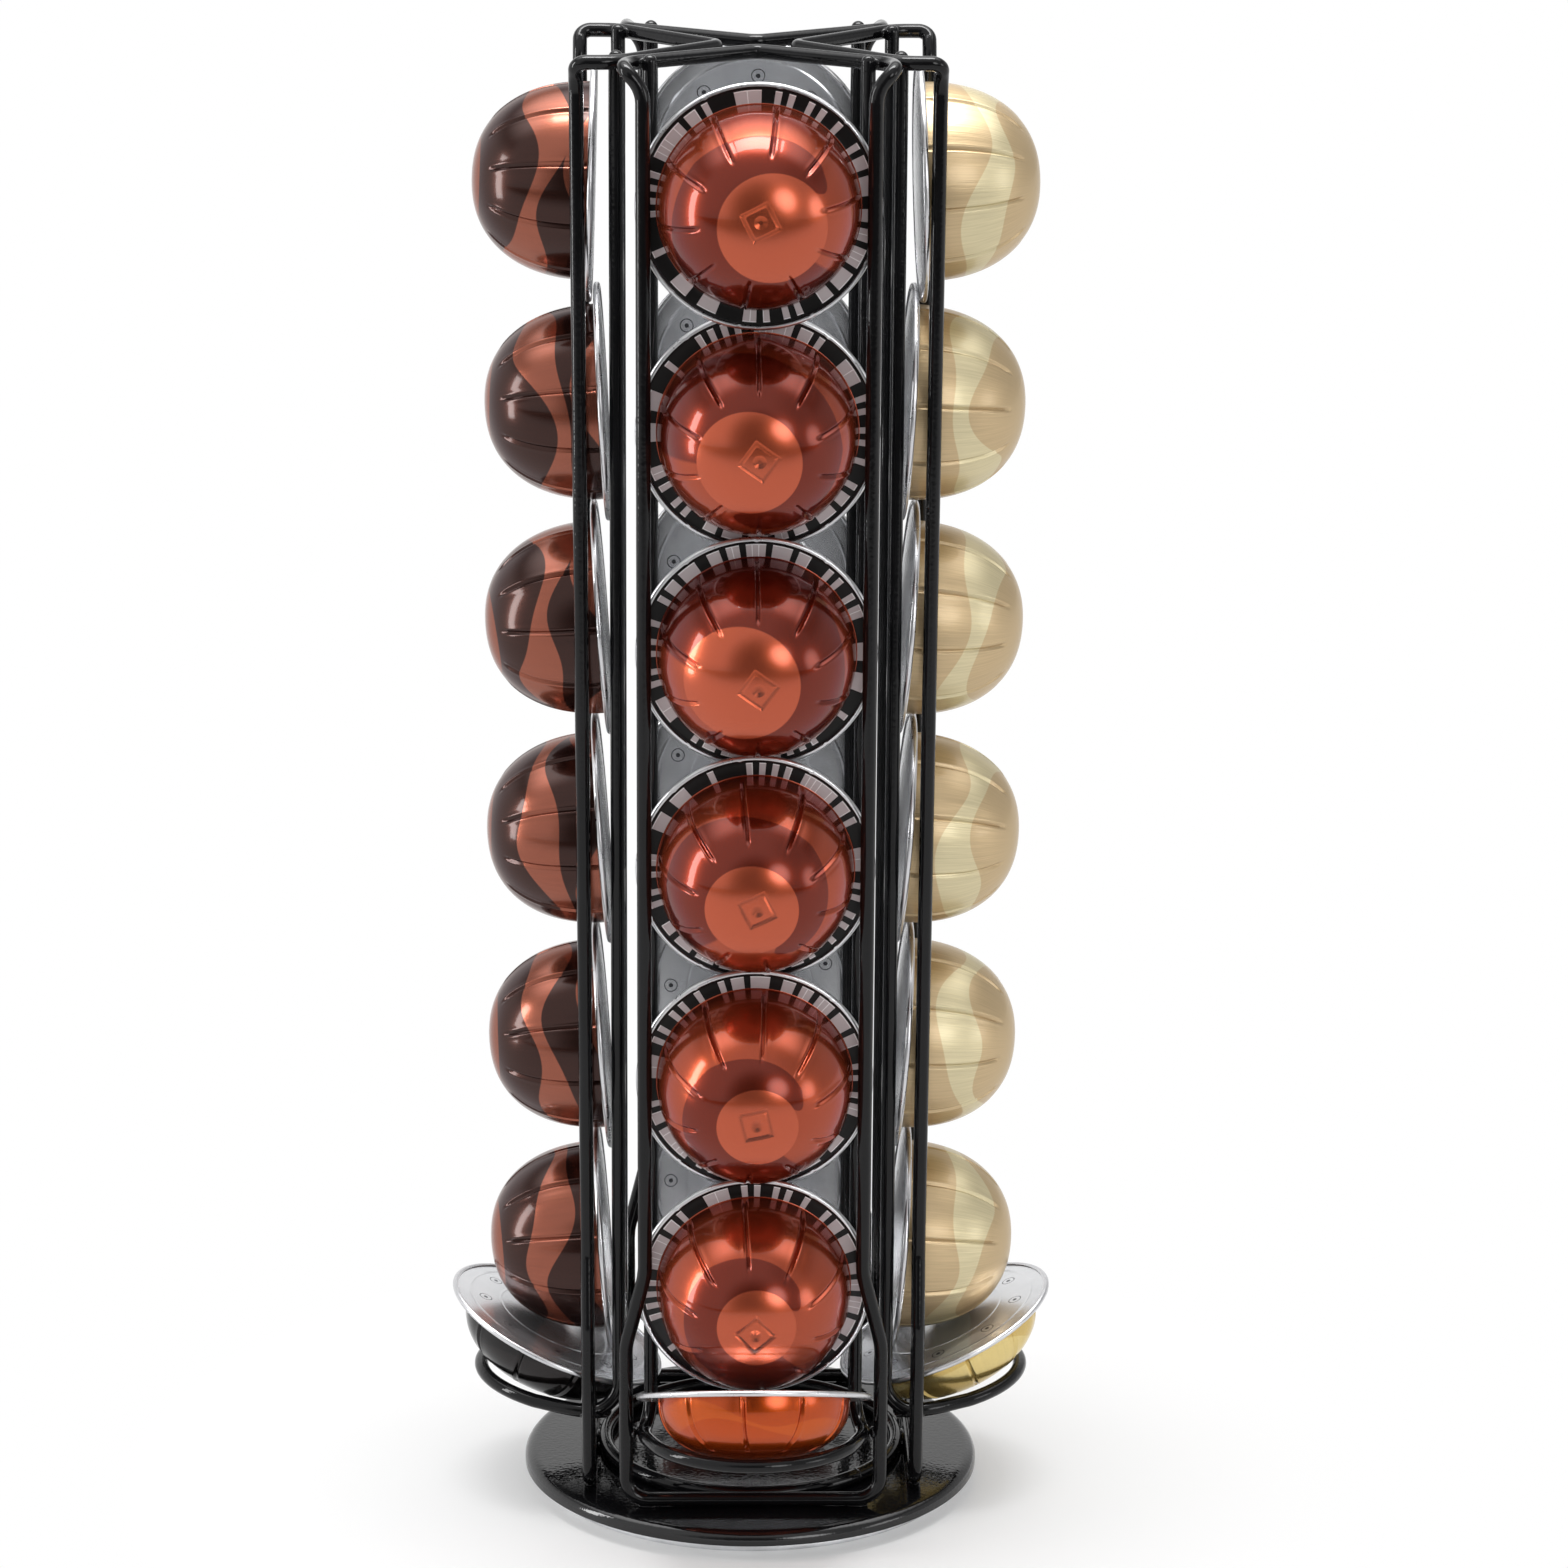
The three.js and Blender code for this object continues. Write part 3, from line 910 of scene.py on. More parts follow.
@dataclass
class Finishes:
    """Every finish of the rack outside the domes, each made once."""

    wire: Material = field(default_factory=WIRE_COAT.material)
    plate: Material = field(default_factory=PLATE_COAT.material)
    disc: Material = field(default_factory=DISC_STEEL.material)
    steel: Material = field(default_factory=BEARING_STEEL.material)
    rubber: Material = field(default_factory=SOFT_RUBBER.material)
    rim: Material = field(default_factory=RIM_METAL.material)
    band: Material = field(default_factory=BandPrint().material)
    foil: Material = field(default_factory=FoilBack().material)


class Panel(NamedTuple):
    """A soft lamp: its place and its width and height, in metres, and its power, in watts."""

    name: str
    at: Place
    size: Pair
    power: float


class Glow(NamedTuple):
    """A soft glow in gloss: its azimuth, height and reach, in degrees, and its strength."""

    azimuth: float
    height: float
    reach: float
    strength: float


@dataclass
class Studio:
    """The camera, the lamps, the pale floor and the white surroundings.

    Azimuths are counted in degrees from straight in front of the rack, to the right, and heights
    in degrees above the horizon. Edges are compared with one part of a direction of length 1.
    """

    camera_place: Place = (-0.02155, -1.2721, 0.5414)
    camera_heading: float = math.radians(1.33)
    camera_pitch: float = math.radians(15.33)
    camera_roll: float = math.radians(0.36)
    lens: float = 116.08
    sensor: float = 36.0
    panels: tuple[Panel, ...] = (
        Panel("lamp_above", (0.0, 0.02, 1.3), (0.72, 0.32), 10.0),
        Panel("lamp_left", (-1.25, -0.12, 0.42), (0.22, 0.85), 7.0),
    )
    panel_aim: Place = (0.0, 0.0, 0.2)
    ambient: float = 0.62
    ceiling_heights: Pair = (20.0, 38.0)
    ceiling_level: float = 0.45
    front_edges: Pair = (-0.3, 0.1)
    skylight_heights: Pair = (34.0, 66.0)
    skylight_level: float = 3.0
    skylight_edges: Pair = (-0.28, 0.02)
    camera_aim: Pair = (-1.0, 8.0)
    camera_reach: Pair = (40.0, 6.0)
    camera_level: float = 0.12
    right_edges: Pair = (0.1, 0.7)
    right_level: float = 0.6
    glows: tuple[Glow, ...] = (
        Glow(68.0, 6.0, 14.0, 3.2),
        Glow(27.0, 16.0, 16.0, 5.0),
        Glow(180.0, 84.0, 20.0, 4.5),
    )
    floor_radius: float = 6.0
    floor_corners: int = 96
    floor_colour: Colour = (0.93, 0.93, 0.93)
    floor_roughness: float = 0.55
    floor_gloss: float = 0.2
    fade_edges: Pair = (0.06, 0.17)
    near_share: float = 0.3
    table_edges: Pair = (-1.5, -0.75)

    def build(self) -> None:
        """Sets up everything that isn't the object."""
        self.build_camera()
        for panel in self.panels:
            self.hang(panel)
        self.build_world()
        self.build_floor()
        bpy.context.scene.view_settings.view_transform = "Standard"

    def build_camera(self) -> None:
        """Places the camera in front of the rack, looking slightly down on it."""
        heading, pitch, roll = self.camera_heading, self.camera_pitch, self.camera_roll
        forward = Vector((math.sin(heading) * math.cos(pitch), math.cos(heading) * math.cos(pitch),
                          -math.sin(pitch)))
        level = Vector((math.cos(heading), -math.sin(heading), 0.0))
        upright = level.cross(forward)
        right = level * math.cos(roll) + upright * math.sin(roll)
        up = upright * math.cos(roll) - level * math.sin(roll)
        data = bpy.data.cameras.new("camera")
        data.lens = self.lens
        data.sensor_width = self.sensor
        camera = bpy.data.objects.new("camera", data)
        axes = Matrix((right, up, -forward)).transposed().to_4x4()
        camera.matrix_world = Matrix.Translation(Vector(self.camera_place)) @ axes
        bpy.context.scene.collection.objects.link(camera)
        bpy.context.scene.camera = camera

    def hang(self, panel: Panel) -> None:
        """Hangs one soft panel that faces the rack."""
        data = bpy.data.lights.new(panel.name, "AREA")
        data.shape = "RECTANGLE"
        data.size, data.size_y = panel.size
        data.energy = panel.power
        lamp = bpy.data.objects.new(panel.name, data)
        lamp.location = panel.at
        aim = Vector(self.panel_aim) - Vector(panel.at)
        lamp.rotation_euler = aim.to_track_quat("-Z", "Y").to_euler()
        bpy.context.scene.collection.objects.link(lamp)

    def build_world(self) -> None:
        """Lights the rack evenly, and shows the surroundings to the camera and in gloss."""
        world = bpy.data.worlds.new("surroundings")
        world.use_nodes = True
        board = Board(world.node_tree)
        board.tree.nodes.clear()
        light, seen = (board.node("ShaderNodeBackground") for _ in range(2))
        board.fill(light, Color=WHITE, Strength=self.ambient)
        board.fill(seen, Color=WHITE, Strength=self.surroundings(board))
        shown = board.blend(board.seen_ray(), light.outputs[0], seen.outputs[0])
        board.fill(board.node("ShaderNodeOutputWorld"), Surface=shown)
        bpy.context.scene.world = world

    def surroundings(self, board: Board) -> Socket:
        """The brightness of each direction: plain white for the camera, and a room for gloss.

        The room is white in front and up to a dimmer ceiling over its rear half, which has a
        skylight in it. It is dim round the camera and a little dimmer on the right, and it holds
        a few soft glows.

        Args:
            board: The world's nodes.

        Returns:
            The brightness.
        """
        where = board.node("ShaderNodeTexCoord").outputs["Generated"]
        across, along, up = board.split(where)
        ceiling = board.ease(up, self.rises(self.ceiling_heights), (1.0, self.ceiling_level))
        front = board.ease(along, self.front_edges, (1.0, 0.0))
        level = board.math("MAXIMUM", ceiling, front)
        wide, narrow = (math.cos(math.radians(reach)) for reach in self.camera_reach)
        toward_camera = self.towards(board, where, *self.camera_aim)
        level = board.times(level, board.ease(toward_camera, (wide, narrow),
                                              (1.0, self.camera_level)))
        level = board.times(level, board.ease(across, self.right_edges, (1.0, self.right_level)))
        skylight = board.ease(up, self.rises(self.skylight_heights), (0.0, self.skylight_level))
        skylight = board.times(skylight, board.ease(along, self.skylight_edges, (0.0, 1.0)))
        level = board.math("ADD", level, skylight)
        for glow in self.glows:
            aim = self.towards(board, where, glow.azimuth, glow.height)
            edges = (math.cos(math.radians(glow.reach)), 1.0)
            level = board.math("ADD", level, board.ease(aim, edges, (0.0, glow.strength)))
        return board.between(board.ray("Camera"), level, 1.0)

    def rises(self, heights: Pair) -> Pair:
        """The upward parts of two directions, given by their heights."""
        low, high = (math.sin(math.radians(height)) for height in heights)
        return low, high

    def towards(self, board: Board, where: Socket, azimuth: float, height: float) -> Socket:
        """The cosine of the angle between each direction and one given by azimuth and height."""
        round_turn, rise = math.radians(azimuth), math.radians(height)
        aim = (math.sin(round_turn) * math.cos(rise), -math.cos(round_turn) * math.cos(rise),
               math.sin(rise))
        made = board.node("ShaderNodeVectorMath", operation="DOT_PRODUCT")
        board.feed_row(made.inputs, where, aim)
        return made.outputs["Value"]

    def build_floor(self) -> None:
        """Lays a pale floor whose far part is as white as the surroundings."""
        deselect_all()
        bpy.ops.mesh.primitive_circle_add(vertices=self.floor_corners, radius=self.floor_radius,
                                          fill_type="NGON")
        floor = bpy.context.object
        floor.name = "studio_floor"
        board = MaterialBoard("studio_floor")
        across, along, _ = board.split(board.object_place())
        board.set(Base_Color=self.floor_colour, Roughness=self.floor_roughness,
                  Specular_IOR_Level=self.floor_gloss)
        table = board.spread(along, *self.table_edges, self.camera_level, 1.0)
        glow = board.node("ShaderNodeEmission")
        board.fill(glow, Strength=board.between(board.ray("Glossy"), 1.0, table))
        far = board.spread(board.length(across, along), *self.fade_edges, self.near_share, 1.0)
        shown = board.blend(board.times(far, board.seen_ray()), board.shader.outputs[0],
                            glow.outputs[0])
        board.fill(board.tree.nodes["Material Output"], Surface=shown)
        floor.data.materials.append(board.material)


@dataclass
class WireColumn:
    """The wires of one column, in millimetres, drawn at the front."""

    side: Side
    wire_radius: float = 1.85
    weld_gap: float = 0.2
    rail_lateral: float = 26.7
    rail_depth: float = 35.1
    top_wire_drop: float = 2.3
    arm_meet_depth: float = 9.5
    apex_bend: float = 3.2
    hook_lateral: float = 33.0
    hook_plan_bend: float = 9.5
    hook_down_bend: float = 2.8
    hook_length: float = 5.0
    guide_top_lateral: float = 28.4
    guide_top_depth: float = 44.9
    guide_top_bend: float = 9.0
    guide_low_lateral: float = 28.2
    flare_top_height: float = 73.0
    flare_bottom_height: float = 53.0
    flare_lateral: float = 33.2
    flare_bend: float = 16.0
    bar_bend: float = 6.0
    rail_foot_bend: float = 8.0
    catch_side_depth: float = 44.5
    catch_side_bend: float = 18.0
    catch_centre_depth: float = 39.2
    catch_reach: float = 33.2
    catch_height: float = 28.4
    catch_rise: float = math.radians(5.5)
    catch_lead: float = math.radians(15)
    catch_steps: int = 48
    ring_bead: Place = (3.4, 0.9, 1.25)
    bar_bead: Place = (3.0, 1.5, 0.5)
    bar_bead_rise: float = 0.15
    arm_bead: Place = (2.1, 0.95, 1.5)
    catch_bead: Place = (0.9, 2.4, 1.3)

    def __post_init__(self) -> None:
        """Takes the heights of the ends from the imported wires."""
        self.rack_height = levels(f"{self.side.label}_back_wire")[1]
        self.base_height = sum(levels("base_ring")) / 2
        ring_radius = outer_radius("base_ring") - self.wire_radius
        self.bar_depth = ring_radius + self.wire_radius * 2 + self.weld_gap
        self.top_height = self.rack_height - self.top_wire_drop
        self.guide_top_height = self.top_height - self.hook_length

    def guide_depth(self, height: float) -> float:
        """How far out a guide stands at a height."""
        share = (height - self.base_height) / (self.guide_top_height - self.base_height)
        return self.bar_depth + (self.guide_top_depth - self.bar_depth) * share

    def arm_angle(self) -> float:
        """The plan angle of the V's arm, which passes just behind the rail."""
        reach = Vector((self.rail_lateral, self.rail_depth - self.arm_meet_depth))
        clear = math.asin((self.wire_radius * 2 + self.weld_gap) / reach.length)
        return math.atan2(reach.y, reach.x) - clear

    def ring_height(self, depth: float) -> float:
        """The height of the catch ring's centre line, which rises outwards."""
        return self.catch_height + (depth - self.catch_centre_depth) * math.tan(self.catch_rise)

    def bead(self, at: Vector, size: Place, heading: float = 0.0) -> Piece:
        """A weld bead of this column."""
        return weld_bead(at, size, self.side.turn, heading)

    def finish(self, wire: Piece, welds: Sequence[Piece], finishes: Finishes, *nodes: str) -> None:
        """Joins a bent wire with its welds and lets it ride in place of its nodes."""
        join_pieces(wire, welds)
        seat(wire, [finishes.wire], "rack", Slot.BLACK,
             *(f"{self.side.label}_{node}" for node in nodes))

    def build(self, finishes: Finishes) -> None:
        """Builds the column's two bent wires with their welds."""
        self.build_loop(finishes)
        self.build_rails(finishes)

    def build_loop(self, finishes: Finishes) -> None:
        """Bends the V, both hooks, both guides and the bottom bar from one closed wire."""
        knee_depth = self.arm_meet_depth + self.hook_lateral * math.tan(self.arm_angle())
        low, high = self.flare_bottom_height, self.flare_top_height
        side = (
            (self.flare_lateral, self.bar_depth, self.base_height, self.bar_bend),
            (self.flare_lateral, self.guide_depth(low), low, self.flare_bend),
            (self.guide_low_lateral, self.guide_depth(high), high, self.flare_bend),
            (self.guide_top_lateral, self.guide_top_depth, self.guide_top_height,
             self.guide_top_bend),
            (self.hook_lateral, self.guide_top_depth, self.top_height, self.hook_down_bend),
            (self.hook_lateral, knee_depth, self.top_height, self.hook_plan_bend),
        )
        apex = Corner(place(0, self.arm_meet_depth, self.top_height), self.apex_bend)
        wire = BentWire(mirrored(side, [apex]), self.wire_radius, closed=True).build(
            f"{self.side.label}_guide_loop", self.side.turn)
        self.finish(wire, self.base_welds(), finishes, "guide_wire", "top_wire")

    def base_welds(self) -> list[Piece]:
        """Beads between the bottom bar and the ring on the plate, and under the bar's ends."""
        middle = self.bar_depth - self.wire_radius - self.weld_gap / 2
        beads = [self.bead(place(0, middle, self.base_height), self.ring_bead)]
        foot = self.base_height - self.wire_radius + self.bar_bead_rise
        for sign in (-1, 1):
            at = place(sign * (self.flare_lateral - self.bar_bend), self.bar_depth, foot)
            beads.append(self.bead(at, self.bar_bead))
        return beads

    def build_rails(self, finishes: Finishes) -> None:
        """Bends both rails and the catch ring from one wire with rounded tips."""
        tip = self.wire_radius
        side_lateral = self.flare_lateral - self.wire_radius * 2 - self.weld_gap
        rise = self.catch_side_depth - self.catch_centre_depth
        side = (
            (self.rail_lateral, self.rail_depth, self.rack_height - tip, 0.0),
            (self.rail_lateral, self.rail_depth, self.ring_height(self.rail_depth),
             self.rail_foot_bend),
            (side_lateral, self.catch_side_depth, self.ring_height(self.catch_side_depth),
             self.catch_side_bend),
        )
        first = 2 * math.asin(rise / self.catch_reach) + self.catch_lead
        ring = []
        for step in range(self.catch_steps + 1):
            angle = first + (math.pi - 2 * first) * step / self.catch_steps
            depth = self.catch_centre_depth + self.catch_reach * math.sin(angle)
            ring.append(Corner(place(-side_lateral * math.cos(angle), depth,
                                     self.ring_height(depth))))
        wire = BentWire(mirrored(side, ring), self.wire_radius, tip_radius=tip).build(
            f"{self.side.label}_rails", self.side.turn)
        self.finish(wire, self.rail_welds(side_lateral), finishes, "back_wire")

    def rail_welds(self, side_lateral: float) -> list[Piece]:
        """Beads where the rails meet the V's arms and where the ring meets the guides."""
        beads = []
        angle = self.arm_angle()
        half_gap = self.wire_radius + self.weld_gap / 2
        for sign in (-1, 1):
            inward = Vector((sign * math.sin(angle), -math.cos(angle)))
            spot = Vector((sign * self.rail_lateral, self.rail_depth)) + inward * half_gap
            at = place(spot.x, spot.y, self.top_height)
            beads.append(self.bead(at, self.arm_bead, -sign * angle))
            depth = self.guide_depth(self.catch_height)
            at = place(sign * (side_lateral + self.flare_lateral) / 2, depth,
                       self.ring_height(depth))
            beads.append(self.bead(at, self.catch_bead))
        return beads


@dataclass
class TurningPlate:
    """The pressed plate with its rolled rim and the wire ring welded on it, in millimetres."""

    rim_radius: float = 60.8
    flat_radius: float = 57.4
    sheet: float = 1.2
    hole_radius: float = 3.15
    hem_shares: Pair = (0.25, 0.75)
    hem_height: float = 0.12
    shoulder_steps: int = 12
    shoulder_foot: float = 0.3
    shoulder_across_power: float = 0.8
    shoulder_up_power: float = 0.9
    steps: int = 180
    ring_wire_radius: float = 1.85
    ring_steps: int = 180
    ring_section_steps: int = 24
    butt_bead: Place = (0.9, 2.0, 2.0)

    def build(self, finishes: Finishes) -> None:
        """Builds the plate and its ring."""
        low, high = levels("base_plate")
        outer = self.shoulder_arc(self.rim_radius, high, high - low)
        inner = self.shoulder_arc(self.rim_radius - self.sheet, high - self.sheet,
                                  high - low - self.sheet)
        hem = [(self.rim_radius - self.sheet * share, low) for share in self.hem_shares]
        outline = [(self.hole_radius, high), *reversed(outer), *hem, *inner,
                   (self.hole_radius, high - self.sheet), (self.hole_radius, high)]
        plate = spin_outline("turning_plate", outline, self.steps)
        smooth_by_angle(plate, SHEET_SMOOTH)
        seat(plate, [finishes.plate], "rack", Slot.BLACK, "base_plate")
        self.build_ring(finishes)

    def shoulder_arc(self, radius: float, top: float, drop: float) -> list[Point]:
        """The rounded shoulder of the plate, from its lower edge up to the flat.

        Args:
            radius: The radius of the lower edge.
            top: The height of the flat.
            drop: The height of the shoulder.

        Returns:
            Radius and height of each point.
        """
        bottom, width = top - drop, self.rim_radius - self.flat_radius
        foot = drop * self.shoulder_foot
        points = [(radius, bottom + self.hem_height)]
        for step in range(self.shoulder_steps + 1):
            angle = QUARTER_TURN * step / self.shoulder_steps
            across = width * (1 - math.cos(angle) ** self.shoulder_across_power)
            rise = foot + (drop - foot) * math.sin(angle) ** self.shoulder_up_power
            points.append((radius - across, bottom + rise))
        return points

    def build_ring(self, finishes: Finishes) -> None:
        """Bends the ring, butt welded at one place, and sets it on the plate."""
        radius = outer_radius("base_ring") - self.ring_wire_radius
        height = sum(levels("base_ring")) / 2
        deselect_all()
        bpy.ops.mesh.primitive_torus_add(
            major_segments=self.ring_steps,
            minor_segments=self.ring_section_steps,
            major_radius=radius * METRES_PER_MM,
            minor_radius=self.ring_wire_radius * METRES_PER_MM,
            location=metres(0, 0, height),
        )
        ring = bpy.context.object
        apply_place()
        bpy.ops.object.shade_smooth()
        ring.name = ring.data.name = "plate_ring"
        turn = Matrix.Rotation(QUARTER_TURN / 2, 4, "Z")
        join_pieces(ring, [weld_bead(place(0, radius, height), self.butt_bead, turn)])
        seat(ring, [finishes.wire], "rack", Slot.BLACK, "base_ring")


@dataclass
class FootAndPivot:
    """The fixed foot, its pad and the pivot's fasteners, in millimetres."""

    foot_radius: float = 56.8
    edge_round: float = 0.35
    edge_steps: int = 4
    pad_radius: float = 52.0
    pad_hole_radius: float = 24.0
    groove_shares: Pair = (0.35, 0.65)
    groove_half_width: float = 1.2
    groove_floor_half_width: float = 0.8
    groove_depth: float = 0.4
    bolt_radius: float = 3.0
    bolt_chamfer: float = 0.4
    head_radius: float = 6.0
    head_chamfer: float = 0.2
    head_height: float = 0.8
    thread_pitch: float = 0.8
    thread_depth: float = 0.3
    hole_clearance: float = 0.15
    washer_radius: float = 7.0
    washer_round: float = 0.2
    nut_sides: int = 6
    nut_turn: float = math.radians(30)
    nut_face: float = 1.3
    nut_bore: Pair = (0.5, 0.4)
    nut_bevel: float = 0.35
    nut_bevel_steps: int = 3
    end_face_normal: float = 0.9
    steps: int = 144
    small_steps: int = 64

    def build(self, finishes: Finishes) -> None:
        """Builds the foot, the pad, the bolt, the washer and the nut, and dresses the bearing."""
        self.build_foot(finishes)
        self.build_pad(finishes)
        self.build_bolt(finishes)
        self.build_washer(finishes)
        self.build_nut(finishes)
        for node in ("lower_race", "upper_race", "ball_cage"):
            dress(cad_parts[node], finishes.steel)

    def ring_outline(self, outer: float, node: str, edge: float) -> list[Point]:
        """The outline of a flat ring with rounded edges, bored for the bolt.

        Args:
            outer: Its radius.
            node: The node that gives its levels.
            edge: The radius of its edges.

        Returns:
            Radius and height of each point, closed on itself.
        """
        inner = self.bolt_radius + self.hole_clearance
        bottom, top = levels(node)
        outline = [(inner, bottom), (outer - edge, bottom)]
        for start, centre in ((-QUARTER_TURN, bottom + edge), (0.0, top - edge)):
            for step in range(1, self.edge_steps + 1):
                angle = start + QUARTER_TURN * step / self.edge_steps
                outline.append((outer - edge + edge * math.cos(angle),
                                centre + edge * math.sin(angle)))
        return [*outline, (inner, top), (inner, bottom)]

    def build_foot(self, finishes: Finishes) -> None:
        """Turns the fixed disc."""
        outline = self.ring_outline(self.foot_radius, "foot_disc", self.edge_round)
        foot = spin_outline("fixed_foot", outline, self.steps)
        smooth_by_angle(foot, SHEET_SMOOTH)
        seat(foot, [finishes.disc], "foot", Slot.DISC, "foot_disc")

    def build_pad(self, finishes: Finishes) -> None:
        """Turns the rubber ring with two shallow grooves on its underside."""
        bottom, top = levels("non_slip_pad")
        hole, rim, edge = self.pad_hole_radius, self.pad_radius, self.edge_round
        wide, narrow = self.groove_half_width, self.groove_floor_half_width
        floor = bottom + self.groove_depth
        outline = [(hole, top), (hole, bottom + edge), (hole + edge, bottom)]
        for share in self.groove_shares:
            middle = hole + (rim - hole) * share
            outline += [(middle - wide, bottom), (middle - narrow, floor),
                        (middle + narrow, floor), (middle + wide, bottom)]
        outline += [(rim - edge, bottom), (rim, bottom + edge), (rim, top), (hole, top)]
        pad = spin_outline("rubber_pad", outline, self.steps)
        smooth_by_angle(pad, SMALL_SMOOTH)
        seat(pad, [finishes.rubber], "foot", Slot.PAD, "non_slip_pad")

    def build_bolt(self, finishes: Finishes) -> None:
        """Turns the pivot bolt with its flat head and the thread at its tip."""
        bottom, top = levels("pivot_bolt")
        height = levels("pivot_nut")[0]
        outline = [(0, bottom), (self.head_radius - self.head_chamfer, bottom),
                   (self.head_radius, bottom + self.head_chamfer),
                   (self.head_radius, bottom + self.head_height),
                   (self.bolt_radius, bottom + self.head_height), (self.bolt_radius, height)]
        while height + self.thread_pitch < top - self.bolt_chamfer:
            outline.append((self.bolt_radius - self.thread_depth, height + self.thread_pitch / 2))
            height += self.thread_pitch
            outline.append((self.bolt_radius, height))
        outline += [(self.bolt_radius - self.bolt_chamfer, top), (0, top)]
        bolt = spin_outline("pivot_stud", outline, self.small_steps)
        smooth_by_angle(bolt, SMALL_SMOOTH)
        seat(bolt, [finishes.steel], "foot", Slot.STEEL, "pivot_bolt")

    def build_washer(self, finishes: Finishes) -> None:
        """Turns the washer on the plate."""
        outline = self.ring_outline(self.washer_radius, "pivot_washer", self.washer_round)
        washer = spin_outline("plain_washer", outline, self.small_steps)
        smooth_by_angle(washer, SHEET_SMOOTH)
        seat(washer, [finishes.steel], "rack", Slot.STEEL, "pivot_washer")

    def build_nut(self, finishes: Finishes) -> None:
        """Makes the hexagon nut with a chamfered bore from a six sided cylinder."""
        low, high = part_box("pivot_nut")
        deselect_all()
        bpy.ops.mesh.primitive_cylinder_add(vertices=self.nut_sides, radius=high.x,
                                            depth=high.z - low.z,
                                            location=(0, 0, (low.z + high.z) / 2),
                                            rotation=(0, 0, self.nut_turn))
        nut = bpy.context.object
        apply_place()
        bpy.ops.object.mode_set(mode="EDIT")
        bpy.ops.mesh.select_mode(type="FACE")
        bpy.ops.mesh.select_all(action="DESELECT")
        bpy.ops.object.mode_set(mode="OBJECT")
        for face in nut.data.polygons:
            face.select = abs(face.normal.z) > self.end_face_normal
        bpy.ops.object.mode_set(mode="EDIT")
        bpy.ops.mesh.inset(thickness=METRES_PER_MM * self.nut_face)
        width, depth = self.nut_bore
        bpy.ops.mesh.inset(thickness=METRES_PER_MM * width, depth=-METRES_PER_MM * depth)
        bpy.ops.object.mode_set(mode="OBJECT")
        bevel = nut.modifiers.new("Bevel", "BEVEL")
        bevel.width = METRES_PER_MM * self.nut_bevel
        bevel.segments = self.nut_bevel_steps
        bevel.limit_method = "ANGLE"
        bpy.ops.object.modifier_apply(modifier=bevel.name)
        smooth_by_angle(nut, SMALL_SMOOTH)
        nut.name = nut.data.name = "hexagon_nut"
        seat(nut, [finishes.steel], "foot", Slot.STEEL, "pivot_nut")


